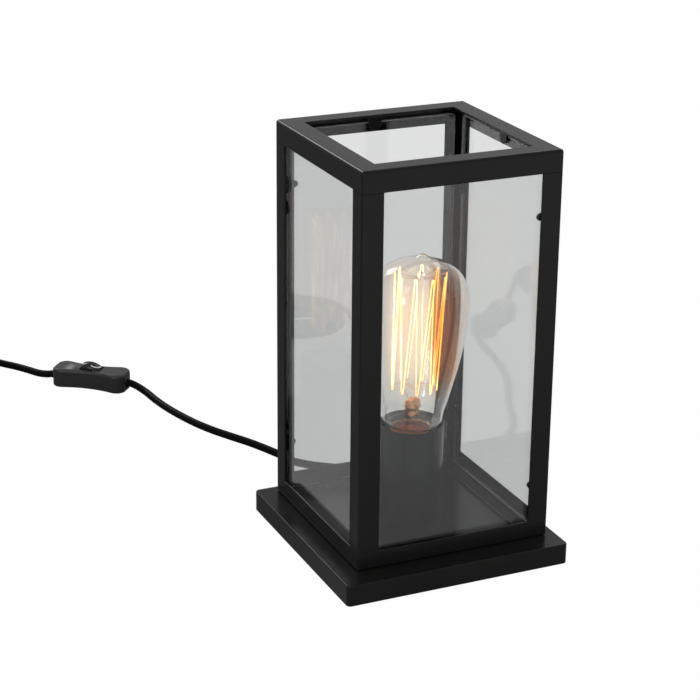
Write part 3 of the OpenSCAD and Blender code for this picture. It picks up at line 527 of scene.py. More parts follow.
@dataclass(frozen=True)
class BulbGlass(Glass):
    """Blown clear glass, with an amber painted reflection of the glowing wire to one side and painted light round
    the wire.

    Attributes:
        wave: height of the waviness of its face, in millimetres.
        wave_scale: how fine the waves are.
        axis: the bulb's axis in metres.
        aside: where the painted reflection lies from the axis.
        reflection_tint: amber tint of the painted reflection.
        reflection_glow: light painted on the glass where the wire is mirrored.
        painted_glow_colour: light painted on the glass round the wire.
        glow: strength of both.
        reflection_edges: where the painted reflection begins, is full, is full still and ends, to one side.
        glow_edges: the same for the painted light round the wire, across the whole bulb.
        height_edges: the same for both, upwards.
    """

    wave: float = 0.05
    wave_scale: float = 35.0
    axis: Point = (0.0035, 0.0055, 0.0)
    aside: Point = (0.91, -0.41, 0.0)
    reflection_tint: Colour = (0.85, 0.42, 0.1)
    reflection_glow: Colour = (0.13, 0.03, 0.0)
    painted_glow_colour: Colour = (0.62, 0.3, 0.09)
    glow: float = 0.36
    reflection_edges: tuple[float, ...] = (0.28, 0.42, 0.72, 0.9)
    glow_edges: tuple[float, ...] = (0.0, 0.3, 0.9, 1.0)
    height_edges: tuple[float, ...] = (0.5, 0.62, 0.84, 0.92)

    @staticmethod
    def between(r: Recipe, value: Wire, edges: tuple[float, ...]) -> Wire:
        """White between the two inner edges, fading to black at the outer ones."""
        return r.ramp(value, list(zip(edges, (BLACK, WHITE, WHITE, BLACK))))

    def dress(self, r: Recipe) -> Wire:
        """The painted reflection lies in a band of distances to one side, between two heights.

        Args:
            r: the shader tree.

        Returns:
            The shader.
        """
        place = r.place(centre=self.axis)
        off = r.along(place, self.aside) * 30.0
        height = r.node("SeparateXYZ", inputs={0: place}, out=2)
        upwards = self.between(r, height * 5.0, self.height_edges)
        painted_reflection = self.between(r, off, self.reflection_edges) * upwards
        painted_glow = self.between(r, off + 0.6, self.glow_edges) * upwards * 0.7
        # Painted reflection of the glowing wire: amber base colour and emitted light to one side; painted light
        # round the wire: emitted light over the bulb.
        return r.surface({
            "Base Color": r.blend(painted_reflection, self.colour, self.reflection_tint),
            "Emission Color": r.blend(painted_glow, r.blend(painted_reflection, BLACK, self.reflection_glow), self.painted_glow_colour),
            "Emission Strength": self.glow,
            "Roughness": self.roughness,
            "IOR": self.ior,
            "Transmission Weight": 1.0,
            "Normal": r.bump(r.noise(self.wave_scale, 1.0), self.wave),
        })


@dataclass(frozen=True)
class Glow(Finish):
    """Incandescent wire, unevenly hot along each strand."""

    strength: float = 7.0
    spots: Point = (70.0, 70.0, 26.0)
    dull: Colour = (0.7, 0.27, 0.05)
    hot: Colour = (1.0, 0.7, 0.3)

    def dress(self, r: Recipe) -> Wire:
        """The colour runs from orange to pale yellow from place to place.

        Args:
            r: the shader tree.

        Returns:
            The shader.
        """
        heat = r.noise(1.0, 2.0, r.place(self.spots))
        return r.surface({
            "Base Color": (0.3, 0.15, 0.05),
            "Roughness": self.roughness,
            "Emission Color": r.ramp(heat, [(0.36, self.dull), (0.5, self.colour), (0.62, self.hot)]),
            "Emission Strength": self.strength,
        })


COAT = Paint("satin_black_coat", Slot.PAINT, (0.0115, 0.012, 0.0112), 0.2, ior=1.25, peel=0.001)
SLEEVE_COAT = Paint("sleeve_black_coat", Slot.PAINT, (0.016, 0.018, 0.018), 0.17, ior=1.25, peel=0.0)
COVER_COAT = Paint("underside_black_coat", Slot.COVER, (0.03, 0.03, 0.032), 0.6)
RUBBER = Moulding("foot_rubber", Slot.RUBBER, (0.02, 0.02, 0.02), 0.85, grain=0.03, grain_scale=900.0)
ZINC = Metal("zinc_plate", Slot.STEEL, (0.62, 0.63, 0.65), 0.3, stain=(0.45, 0.43, 0.36))
PANE = Glass("float_glass", Slot.PANES, (0.765, 0.775, 0.77), 0.0)
GROUND_EDGE = Moulding("ground_glass_edge", Slot.PANES, (0.72, 0.78, 0.75), 0.5, grain=0.004)
BULB_GLASS = BulbGlass("blown_glass", Slot.BULB, (0.975, 0.965, 0.94), 0.0, ior=1.45)
STEM_GLASS = Glass("clear_stem_glass", Slot.STEM, (0.99, 0.98, 0.96), 0.0, ior=1.02)
PINCH_GLASS = Metal("pinched_glass", Slot.STEM, (0.85, 0.42, 0.22), 0.25, stain=(0.95, 0.8, 0.65))
BRASS = Metal("bright_brass", Slot.BRASS, (0.83, 0.58, 0.26), 0.24)
NICKEL = Metal("nickel_plate", Slot.NICKEL, (0.74, 0.71, 0.66), 0.22, stain=(0.5, 0.44, 0.36))
RESIN = Moulding("holder_resin", Slot.RESIN, (0.018, 0.018, 0.019), 0.45)
CEMENT = Cement("basing_cement", Slot.CEMENT, (0.85, 0.22, 0.05), 0.7)
VITRITE = Moulding("black_vitrite", Slot.VITRITE, (0.012, 0.01, 0.016), 0.12, grain=0.0, ior=1.6)
GLOW = Glow("glowing_wire", Slot.FILAMENT, (1.0, 0.5, 0.15), 0.5)
SHELL = Moulding("satin_black_moulding", Slot.MOULDING, (0.019, 0.0195, 0.0195), 0.36, ior=1.45)
SHEATH = Moulding("cord_sheath_black", Slot.SHEATH, (0.004, 0.004, 0.0042), 0.28, grain=0.002, ior=1.11)
CORES = Moulding("core_insulation_brown", Slot.CORES, (0.12, 0.05, 0.025), 0.4)


# ---- Mesh making ----


def sweep(angle: float, steps: int) -> list[float]:
    """Equal steps from 0 to an angle, both ends counted."""
    return [angle * k / steps for k in range(steps + 1)]


def around(sides: int) -> list[float]:
    """The angles of a circle's points."""
    return sweep(2 * math.pi, sides)[:-1]


def fillet(corners: Sequence[Point], steps: int = 4) -> list[Flat]:
    """Rounds the corners of a closed outline.

    Args:
        corners: x, y and radius of each corner.
        steps: points in each arc, less one.

    Returns:
        The rounded outline.
    """
    out: list[Flat] = []
    count = len(corners)
    for i, (x, y, radius) in enumerate(corners):
        here = Vector((x, y))
        before = (Vector(corners[i - 1][:2]) - here).normalized()
        after = (Vector(corners[(i + 1) % count][:2]) - here).normalized()
        if radius <= 0:
            out.append((x, y))
            continue
        half = before.angle(after) / 2
        reach = radius / math.tan(half)
        centre = here + (before + after).normalized() * (radius / math.sin(half))
        a, b = here + before * reach - centre, here + after * reach - centre
        turn = a.angle_signed(b)
        for t in sweep(-turn, steps):
            c, s = math.cos(t), math.sin(t)
            out.append((centre.x + a.x * c - a.y * s, centre.y + a.x * s + a.y * c))
    return out


def rounded_box(low: Flat, high: Flat, radius: float, steps: int) -> list[Flat]:
    """Outline of a box with round corners, from its low corner round."""
    (x0, y0), (x1, y1) = low, high
    return fillet([(x0, y0, radius), (x1, y0, radius), (x1, y1, radius), (x0, y1, radius)], steps)


def square_loop(half: float, radius: float, z: float, centre: Flat, steps: int = 6) -> Loop:
    """A level rounded square, with the same number of points whatever its radius.

    Args:
        half: half its side.
        radius: radius of its corners.
        z: its height.
        centre: its middle.
        steps: points in each corner, less one.

    Returns:
        The loop.
    """
    loop: Loop = []
    for k in range(4):
        turn = Matrix.Rotation(k * math.pi / 2, 2)
        for a in sweep(math.pi / 2, steps):
            p = turn @ Vector((half - radius + radius * math.cos(a), half - radius + radius * math.sin(a)))
            loop.append(Vector((p.x + centre[0], p.y + centre[1], z)))
    return loop


def round_loop(radius: float, z: float, centre: Flat, sides: int) -> Loop:
    """A level circle."""
    return [Vector((centre[0] + radius * math.cos(a), centre[1] + radius * math.sin(a), z)) for a in around(sides)]


def spline(knots: Sequence[Sequence[float]], steps: int) -> Loop:
    """The smooth curve through the knots, as in the solid's source.

    Args:
        knots: points of two or three numbers.
        steps: steps in each stretch.

    Returns:
        The curve's points.
    """
    pts = [Vector(k) for k in knots]
    out = []
    for i in range(len(pts) - 1):
        a, b, c, d = pts[max(0, i - 1)], pts[i], pts[i + 1], pts[min(len(pts) - 1, i + 2)]
        for k in range(steps):
            t = k / steps
            out.append(0.5 * (2 * b + (c - a) * t + (2 * a - 5 * b + 4 * c - d) * t * t
                              + (3 * b - a - 3 * c + d) * t ** 3))
    return out + [pts[-1]]


@dataclass
class Form:
    """A mesh in the making: vertices in millimetres, and faces."""

    verts: Loop = field(default_factory=list)
    faces: list[list[int]] = field(default_factory=list)

    def loft(self, rows: Sequence[Loop], ring: bool = False, caps: bool = True) -> Form:
        """Skins closed loops that have the same number of points.

        Args:
            rows: the loops.
            ring: joins the last row to the first.
            caps: closes the two ends, unless ring.

        Returns:
            This form.
        """
        base, n = len(self.verts), len(rows[0])
        for row in rows:
            self.verts.extend(row)
        for r in range(len(rows) if ring else len(rows) - 1):
            low, high = base + r * n, base + (r + 1) % len(rows) * n
            for k in range(n):
                j = (k + 1) % n
                self.faces.append([low + k, low + j, high + j, high + k])
        if caps and not ring:
            self.faces.append([base + k for k in reversed(range(n))])
            self.faces.append([base + (len(rows) - 1) * n + k for k in range(n)])
        return self

    def lathe(self, profile: Iterable[Sequence[float]], centre: Flat, sides: int = 64, ring: bool = False) -> Form:
        """Turns a profile of radius and height about an upright axis."""
        return self.loft([round_loop(r, z, centre, sides) for r, z in profile], ring, caps=False)

    def tube(self, path: Sequence[Vector], radius: float | Callable[[int], float], sides: int = 12) -> Form:
        """Sweeps a circle along a path without twist.

        Args:
            path: centre points.
            radius: one radius, or a function of the point's number.
            sides: points of the circle.

        Returns:
            This form.
        """
        rows: list[Loop] = []
        side = None
        for i, p in enumerate(path):
            ahead = (path[min(i + 1, len(path) - 1)] - path[max(i - 1, 0)]).normalized()
            if side is None:
                side = ahead.orthogonal().normalized()
            side = (side - ahead * side.dot(ahead)).normalized()
            up = ahead.cross(side)
            r = radius(i) if callable(radius) else radius
            rows.append([p + r * (math.cos(a) * side + math.sin(a) * up) for a in around(sides)])
        return self.loft(rows)

    def add(self, other: Form) -> Form:
        """Takes in another form's mesh.

        Args:
            other: the form.

        Returns:
            This form.
        """
        base = len(self.verts)
        self.verts += other.verts
        self.faces += [[base + i for i in face] for face in other.faces]
        return self

    def moved(self, matrix: Matrix) -> Form:
        """Places every vertex with a matrix in millimetres."""
        self.verts = [matrix @ v for v in self.verts]
        return self


def rough_object(name: str, form: Form, sharp: float = 30.0) -> Object:
    """Makes an object of a form, with its doubles merged and its faces outwards.

    Args:
        name: the object's name.
        form: the mesh in millimetres.
        sharp: edges that bend by more degrees stay sharp.

    Returns:
        The linked object.
    """
    mesh = bpy.data.meshes.new(name)
    bm = bmesh.new()
    made = [bm.verts.new(v * MM) for v in form.verts]
    for face in form.faces:
        corners = [made[i] for i in face]
        if len(set(corners)) > 2:
            bm.faces.new(corners)
    bmesh.ops.remove_doubles(bm, verts=bm.verts, dist=MERGE_AT)
    bmesh.ops.dissolve_degenerate(bm, edges=bm.edges, dist=SLIVER)
    bmesh.ops.recalc_face_normals(bm, faces=bm.faces)
    mark_sharp(bm, sharp)
    bm.to_mesh(mesh)
    bm.free()
    made_object = bpy.data.objects.new(name, mesh)
    bpy.context.scene.collection.objects.link(made_object)
    return made_object


def mark_sharp(bm: bmesh.types.BMesh, degrees: float) -> None:
    """Shades every face smooth and keeps the edges that bend by more sharp.

    Args:
        bm: the mesh.
        degrees: edges that bend by more stay sharp.
    """
    for face in bm.faces:
        face.smooth = True
    for edge in bm.edges:
        edge.smooth = len(edge.link_faces) == 2 and edge.calc_face_angle(0.0) < math.radians(degrees)


def mark_again(obj: Object, degrees: float) -> None:
    """Marks the sharp edges of an object whose mesh was rebuilt.

    Args:
        obj: the object.
        degrees: edges that bend by more stay sharp.
    """
    bm = bmesh.new()
    bm.from_mesh(obj.data)
    mark_sharp(bm, degrees)
    bm.to_mesh(obj.data)
    bm.free()


def weigh_normals(obj: Object) -> None:
    """Adds weighted normals that leave sharp edges alone."""
    weigh = obj.modifiers.new("weigh", "WEIGHTED_NORMAL")
    weigh.keep_sharp = True


def settle(obj: Object, finish: Finish) -> Object:
    """Turns an object's modifiers into plain mesh and gives it its finish.

    Args:
        obj: the object.
        finish: what it is dressed in.

    Returns:
        The same object.
    """
    graph = bpy.context.evaluated_depsgraph_get()
    mesh = bpy.data.meshes.new_from_object(obj.evaluated_get(graph), depsgraph=graph)
    obj.modifiers.clear()
    obj.data = mesh
    mesh.name = obj.name
    mesh.materials.clear()
    mesh.materials.append(finish.material())
    return obj


def piece(name: str, form: Form, finish: Finish, body: Body, nodes: Sequence[str] = (), sharp: float = 30.0,
          cutters: Sequence[Form] = ()) -> Object:
    """Makes a finished piece that rides on a body.

    Args:
        name: the piece's name.
        form: its mesh in millimetres.
        finish: what it is dressed in.
        body: what it rides on.
        nodes: the solids that it stands for.
        sharp: edges that bend by more degrees stay sharp.
        cutters: forms that are cut away from it.

    Returns:
        The object.
    """
    obj = rough_object(name, form, sharp)
    tools = [rough_object(f"{name}_cut", cutter) for cutter in cutters]
    for tool in tools:
        cut = obj.modifiers.new("cut", "BOOLEAN")
        cut.operation, cut.object, cut.solver = "DIFFERENCE", tool, "EXACT"
    weigh_normals(obj)
    settle(obj, finish)
    for tool in tools:
        bpy.data.objects.remove(tool)
    if tools:
        mark_again(obj, sharp)
    seat(obj, finish, body, nodes)
    return obj


def seat(obj: Object, finish: Finish, body: Body, nodes: Sequence[str] = ()) -> None:
    """Puts a piece on its body and hides the solids that it stands for.

    Args:
        obj: the piece.
        finish: what it is dressed in.
        body: what it rides on.
        nodes: the solids that it stands for.
    """
    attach(obj, body.value)
    if nodes:
        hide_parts(*nodes)
    LOG.info("%s on %s: %d faces", obj.name, body.value, len(obj.data.polygons))


def dress_solids(solids: Solids, finishes: dict[str, Finish]) -> None:
    """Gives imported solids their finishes, by name.

    Args:
        solids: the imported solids.
        finishes: what each is dressed in.
    """
    for name, finish in finishes.items():
        solids[name].data.materials.clear()
        solids[name].data.materials.append(finish.material())
        LOG.info("%s: %s", name, finish.name)


def metre_matrix(matrix: Matrix) -> Matrix:
    """A matrix in millimetres as one for a mesh in metres.

    Args:
        matrix: the matrix.

    Returns:
        The other one.
    """
    out = matrix.copy()
    out.translation *= MM
    return out


# ---- Geometry Nodes ----


class Tree:
    """A Geometry Nodes tree that is run once on a form and then removed."""

    def __init__(self, name: str) -> None:
        """Makes an empty tree with a mesh coming in and a mesh going out.

        Args:
            name: the tree's name.
        """
        self.group = bpy.data.node_groups.new(name, "GeometryNodeTree")
        face = self.group.interface
        face.new_socket("Mesh", in_out="INPUT", socket_type="NodeSocketGeometry")
        face.new_socket("Mesh", in_out="OUTPUT", socket_type="NodeSocketGeometry")
        self.entry = self.group.nodes.new("NodeGroupInput")
        self.exit = self.group.nodes.new("NodeGroupOutput")
        self.values: dict[str, Any] = {}

    def size(self, name: str, value: float | int) -> Socket:
        """Adds a named size.

        Args:
            name: the input's name.
            value: its value in the unit of the mesh.

        Returns:
            The socket that gives it inside the tree.
        """
        kind = "NodeSocketInt" if isinstance(value, int) else "NodeSocketFloat"
        item = self.group.interface.new_socket(name, in_out="INPUT", socket_type=kind)
        self.values[item.identifier] = value
        return self.entry.outputs[name]

    def node(self, kind: str, settings: dict[str, Any] | None = None, inputs: dict[Any, Any] | None = None,
             out: Any = 0) -> Socket:
        """Adds a node.

        Args:
            kind: its full type.
            settings: properties, which are set first.
            inputs: values or sockets by name or number.
            out: name or number of the output that is returned.

        Returns:
            That output.
        """
        made = self.group.nodes.new(kind)
        for key, value in (settings or {}).items():
            setattr(made, key, value)
        for key, value in (inputs or {}).items():
            if isinstance(value, Socket):
                self.group.links.new(value, made.inputs[key])
            else:
                made.inputs[key].default_value = value
        return made.outputs[out]

    def vector(self, x: Any = 0.0, y: Any = 0.0, z: Any = 0.0) -> Socket:
        """A vector of sockets or numbers."""
        return self.node("ShaderNodeCombineXYZ", inputs={0: x, 1: y, 2: z})

    def math(self, operation: str, a: Any, b: Any = 0.0) -> Socket:
        """A Math node on sockets or numbers."""
        return self.node("ShaderNodeMath", {"operation": operation}, {0: a, 1: b})

    def ring(self, shape: Socket, count: Socket, centre: Socket,
             turns: tuple[Any, Any]) -> Socket:
        """Puts copies of a shape at one place, each turned further about the upright axis.

        Args:
            shape: what is repeated.
            count: how many there are.
            centre: where they stand.
            turns: angle of the first, and from one to the next.

        Returns:
            The instances.
        """
        points = self.node("GeometryNodePoints", inputs={"Count": count, "Position": centre})
        further = self.math("MULTIPLY", self.node("GeometryNodeInputIndex"), turns[1])
        angle = self.vector(z=self.math("ADD", turns[0], further))
        return self.node("GeometryNodeInstanceOnPoints",
                         inputs={"Points": points, "Instance": shape, "Rotation": angle})

    def run(self, name: str, finish: Finish, result: Socket, sharp: float = 60.0,
            form: Form | None = None) -> Object:
        """Closes the tree, runs it and keeps the plain mesh.

        Args:
            name: the finished object's name.
            finish: what the mesh is dressed in.
            result: instances or mesh that the tree makes.
            sharp: edges that bend by more degrees stay sharp.
            form: what comes in; a tree that needs nothing gets a single point.

        Returns:
            The object.
        """
        real = self.node("GeometryNodeRealizeInstances", inputs={0: result})
        dressed = self.node("GeometryNodeSetMaterial", inputs={0: real, "Material": finish.material()})
        self.group.links.new(dressed, self.exit.inputs[0])
        obj = rough_object(name, form or Form([Vector()], []), sharp)
        modifier = obj.modifiers.new("build", "NODES")
        modifier.node_group = self.group
        for key, value in self.values.items():
            modifier[key] = value
        settle(obj, finish)
        mark_again(obj, sharp)
        weigh_normals(obj)
        return settle(obj, finish)


def on_each_side(form: Form, name: str, finish: Finish, axis: Flat, nodes: Sequence[str], copies: int = 4) -> None:
    """Repeats a form about the upright axis of the lantern, once for each side.

    Args:
        form: the form at the front.
        name: name of the piece.
        finish: what it is dressed in.
        axis: where the axis stands.
        nodes: the solids that the piece stands for.
        copies: how many sides there are.
    """
    tree = Tree(name + "_sides")
    count = tree.size("Copies", copies)
    at_x, at_y = tree.size("Axis X", axis[0] * MM), tree.size("Axis Y", axis[1] * MM)
    centre = tree.vector(at_x, at_y)
    back = tree.node("ShaderNodeVectorMath", {"operation": "SCALE"}, {0: centre, "Scale": -1.0})
    local = tree.node("GeometryNodeTransform", inputs={0: tree.entry.outputs[0], "Translation": back})
    placed = tree.ring(local, count, centre, (0.0, tree.math("DIVIDE", 2 * math.pi, count)))
    seat(tree.run(name, finish, placed, 40, form), finish, Body.LAMP, nodes)


# ---- The lamp's sub-assemblies ----


@dataclass
class Layout:
    """Sizes that several sub-assemblies share, in millimetres, as in the solids."""

    base_w: float = 154.0
    floor_gap: float = 1.2
    base_top: float = 15.0
    frame_w: float = 133.0
    frame_h: float = 256.0
    axis: Flat = (3.5, 5.5)
    angle_w: float = 14.0
    angle_t: float = 1.5
    low_rail_h: float = 12.0
    pane_in: float = 61.7
    pane_t: float = 3.0
    pane_w: float = 117.0
    pane_low: float = 16.8
    pane_high: float = 264.0
    cord_d: float = 5.6

    @property
    def frame_top(self) -> float:
        """Height of the frame's upper face."""
        return self.base_top + self.frame_h

    def at_front(self, x: float, out: float, z: float) -> Vector:
        """A point on the front side of the lantern, out millimetres in front of its axis."""
        return Vector((self.axis[0] + x, self.axis[1] - out, z))


@dataclass
class Base:
    """Tray of bent sheet with its cover, feet and screws.

    Attributes:
        layout: the shared sizes.
        wall: thickness of the sheet.
        corner: radius of the corners in plan.
        edge: radius of the upper edge.
        trim: radius of the cut edges.
        flat: how far in from the edge the flat top is drawn before it closes on the middle.
    """

    layout: Layout
    wall: float = 1.5
    corner: float = 3.0
    edge: float = 0.7
    trim: float = 0.4
    flat: float = 70.0

    def build(self, nodes: Solids) -> None:
        """Makes the tray and dresses the solids under it.

        Args:
            nodes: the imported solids.
        """
        lay = self.layout
        half, middle, under = lay.base_w / 2, (0.0, 0.0), lay.base_top - self.wall
        outline = fillet([(0, lay.floor_gap, self.trim), (0, lay.base_top, self.edge), (self.flat, lay.base_top, 0),
                          (self.flat, under, 0), (self.wall, under, self.trim),
                          (self.wall, lay.floor_gap, self.trim)])
        rows = []
        for inward, z in outline:
            if inward >= self.flat:
                rows.append(square_loop(0.0, 0.0, z, middle))
            else:
                rows.append(square_loop(half - inward, max(self.corner - inward, self.trim), z, middle))
        piece("tray", Form().loft(rows, ring=True), COAT, Body.LAMP, ["base_tray"], sharp=40)
        dress_solids(nodes, {
            "bottom_cover": COVER_COAT, "foot_pads": RUBBER, "cover_screws": ZINC, "frame_screws": ZINC,
            "clamp_screws": ZINC, "cord_clamp": RESIN, "core_wires": CORES, "cord_inlet": SHEATH})


@dataclass
class Lantern:
    """Frame of steel angle with its panes and clips.

    Attributes:
        layout: the shared sizes.
        outer: radius of the angle's outer corner.
        inner: radius of its inner corner.
        tip: radius of its two tips.
        steps: points in each of these arcs, less one.
        pane_r: radius of the panes' corners.
        ground: width of the panes' ground edge, on the face.
        clip_t: thickness of the clips' sheet.
        clip_w: half the width of a clip.
        clip_gap: how far a clip stands off the glass.
        stagger: how much nearer to the middle the right and left panes' clips sit on the posts,
            so that neighbours at a corner pass each other.
    """

    layout: Layout
    outer: float = 2.0
    inner: float = 0.5
    tip: float = 0.45
    steps: int = 6
    pane_r: float = 3.0
    ground: float = 0.5
    clip_t: float = 1.2
    clip_w: float = 5.5
    clip_gap: float = 0.2
    stagger: float = 14.0

    def section(self, leg: float, height: float) -> list[Flat]:
        """Outline of the angle: corner at the origin, legs along the two axes.

        Args:
            leg: width of the level leg.
            height: height of the upright leg.

        Returns:
            The outline.
        """
        t = self.layout.angle_t
        return fillet([(0, 0, self.outer), (leg, 0, self.tip), (leg, t, self.tip), (t, t, self.inner),
                       (t, height, self.tip), (0, height, self.tip)], self.steps)

    def rail_ring(self, name: str, height: float, z: float, down: bool, nodes: list[str]) -> None:
        """Four mitred rails, ground flush and painted over as one ring.

        Args:
            name: name of the piece.
            height: height of the upright leg.
            z: height of the level leg's outer face.
            down: whether the upright leg hangs down from there.
            nodes: the rails that it stands for.
        """
        half = self.layout.frame_w / 2
        rows = [square_loop(half - inward, max(self.outer - inward, 0.0), z - up if down else z + up,
                            self.layout.axis, self.steps)
                for inward, up in self.section(self.layout.angle_w, height)]
        piece(name, Form().loft(rows, ring=True), COAT, Body.LAMP, nodes, sharp=40)

    def post(self) -> Form:
        """The post at the front left corner.

        Returns:
            The post.
        """
        lay = self.layout
        half = lay.frame_w / 2
        low, high = lay.base_top + lay.low_rail_h, lay.frame_top - lay.angle_w
        outline = self.section(lay.angle_w, lay.angle_w)
        return Form().loft([[lay.at_front(x - half, half - y, z) for x, y in outline] for z in (low, high)])

    def pane_loop(self, out: float, inset: float) -> Loop:
        """Outline of the front pane, drawn in by inset, out millimetres from its inner face.

        Args:
            out: distance from the inner face.
            inset: how far it is drawn in.

        Returns:
            The loop.
        """
        lay = self.layout
        middle = (lay.pane_low + lay.pane_high) / 2
        w, h = lay.pane_w / 2 - inset, (lay.pane_high - lay.pane_low) / 2 - inset
        return [lay.at_front(x, lay.pane_in + out, middle + z)
                for x, z in rounded_box((-w, -h), (w, h), self.pane_r - inset, 6)]

    def pane(self) -> Form:
        """The front pane inside its ground edge: two polished faces."""
        return Form().loft([self.pane_loop(out, self.ground) for out in (0.0, self.layout.pane_t)])

    def rim(self) -> Form:
        """The ground and arrissed edge of the front pane, which looks lighter than its faces."""
        section = ((0.02, 0.48), (0.02, 0.4), (0.35, 0.0), (2.65, 0.0), (2.98, 0.4), (2.98, 0.48))
        return Form().loft([self.pane_loop(out, inset) for out, inset in section], ring=True)

    def tab(self, path: Sequence[Vector], across: Vector, half: float, tip: float) -> Form:
        """A bent sheet tab with a round tip.

        Args:
            path: middle line of the sheet, from its root to its tip.
            across: unit vector along the tab's width.
            half: half its width.
            tip: radius of the tip.

        Returns:
            The tab.
        """
        line = list(path)
        end, ahead = line[-1], (line[-1] - line[-2]).normalized()
        line[-1] = end - ahead * tip
        half_t, trim = self.clip_t / 2, 0.3
        widths = [half] * len(line)
        widths[-1] = tip
        for a in sweep(math.pi / 2, 8)[1:]:
            line.append(end - ahead * tip * (1 - math.sin(a)))
            widths.append(max(tip * math.cos(a), half_t))
        rows = []
        for i, p in enumerate(line):
            along = (line[min(i + 1, len(line) - 1)] - line[max(i - 1, 0)]).normalized()
            up = across.cross(along)
            rows.append([p + across * (s * (widths[i] - e)) + up * (half_t * v)
                         for s, v, e in ((-1, -0.5, 0), (-1, -1, trim), (1, -1, trim), (1, -0.5, 0),
                                         (1, 0.5, 0), (1, 1, trim), (-1, 1, trim), (-1, 0.5, 0))])
        return Form().loft(rows)

    def top_clip(self) -> Form:
        """The clip that hangs from the front top rail over the glass.

        Returns:
            The clip.
        """
        lay = self.layout
        face, r = lay.pane_in - self.clip_gap - self.clip_t / 2, 1.6
        under = lay.frame_top - lay.angle_t - self.clip_t / 2
        bend = [lay.at_front(0, face - r + r * math.sin(a), under - r + r * math.cos(a))
                for a in sweep(math.pi / 2, 5)]
        path = [lay.at_front(0, 53.2, under), *bend, lay.at_front(0, face, lay.pane_high - 5.5)]
        return self.tab(path, Vector((1, 0, 0)), self.clip_w, 4.4)

    def post_clip(self, side: int, z: float, reach: float) -> Form:
        """A clip that comes round from a post over the front glass.

        Args:
            side: -1 at the left post, 1 at the right one.
            z: its height.
            reach: how far its tip lies inside the glass's edge.

        Returns:
            The clip.
        """
        lay = self.layout
        face, r = lay.pane_in - self.clip_gap - self.clip_t / 2, 1.2
        web = lay.pane_w / 2 + 0.5 + self.clip_t / 2
        bend = [lay.at_front(side * (web - r + r * math.cos(a)), face + r - r * math.sin(a), z)
                for a in sweep(math.pi / 2, 5)]
        path = [lay.at_front(side * web, 64.9, z), *bend, lay.at_front(side * (lay.pane_w / 2 - reach), face, z)]
        return self.tab(path, Vector((0, 0, 1)), self.clip_w, 2.4)

    def clips(self, step: float) -> Form:
        """The front pane's clips: one under the top rail and two on each post.

        Args:
            step: how far the clips on the posts sit nearer to the middle.

        Returns:
            The clips.
        """
        lay = self.layout
        form = Form().add(self.top_clip())
        for side in (-1, 1):
            form.add(self.post_clip(side, lay.base_top + 36.0 + step, 5.5))
            form.add(self.post_clip(side, lay.frame_top - 42.0 - step, 7.0))
        return form

    def build(self) -> None:
        """Makes the frame, the panes and the clips."""
        lay = self.layout
        x, y = lay.axis
        sides = ("front", "right", "back", "left")
        glass = [f"glass_{s}" for s in sides]
        posts = [f"post_{s}" for s in ("front_left", "front_right", "back_right", "back_left")]
        self.rail_ring("top_frame", lay.angle_w, lay.frame_top, True, [f"top_rail_{s}" for s in sides])
        self.rail_ring("low_frame", lay.low_rail_h, lay.base_top, False, [f"low_rail_{s}" for s in sides])
        on_each_side(self.post(), "posts", COAT, lay.axis, posts)
        on_each_side(self.pane(), "panes", PANE, lay.axis, glass)
        on_each_side(self.rim(), "pane_rims", GROUND_EDGE, lay.axis, glass)
        quarter = (Matrix.Translation((x, y, 0)) @ Matrix.Rotation(math.pi / 2, 4, "Z")
                   @ Matrix.Translation((-x, -y, 0)))
        on_each_side(self.clips(0.0), "clips_across", COAT, lay.axis, ["clips_front", "clips_back"], 2)
        on_each_side(self.clips(self.stagger).moved(quarter), "clips_along", COAT, lay.axis,
                     ["clips_right", "clips_left"], 2)


def threaded_wall(radius: float, depth: float, low: float, high: float, pitch: float, centre: Flat,
                  sides: int = 48, rows_per_turn: int = 10) -> list[Loop]:
    """Rows of a round wall with a rolled right-hand thread that fades at both ends.

    Args:
        radius: radius over the crests.
        depth: depth of the thread.
        low: height of its lower end.
        high: height of its upper end.
        pitch: rise in one turn.
        centre: where the axis stands.
        sides: points in each row.
        rows_per_turn: rows in one pitch.

    Returns:
        The rows, from low to high.
    """
    rows = []
    count = max(4, round((high - low) / pitch * rows_per_turn))
    runout = 0.6 * pitch
    for i in range(count + 1):
        z = low + (high - low) * i / count
        fade = min(1.0, (z - low) / runout, (high - z) / runout)
        row = []
        for a in around(sides):
            wave = 0.5 - 0.5 * math.cos(2 * math.pi * z / pitch - a)
            r = radius - depth * fade * wave
            row.append(Vector((centre[0] + r * math.cos(a), centre[1] + r * math.sin(a), z)))
        rows.append(row)
    return rows


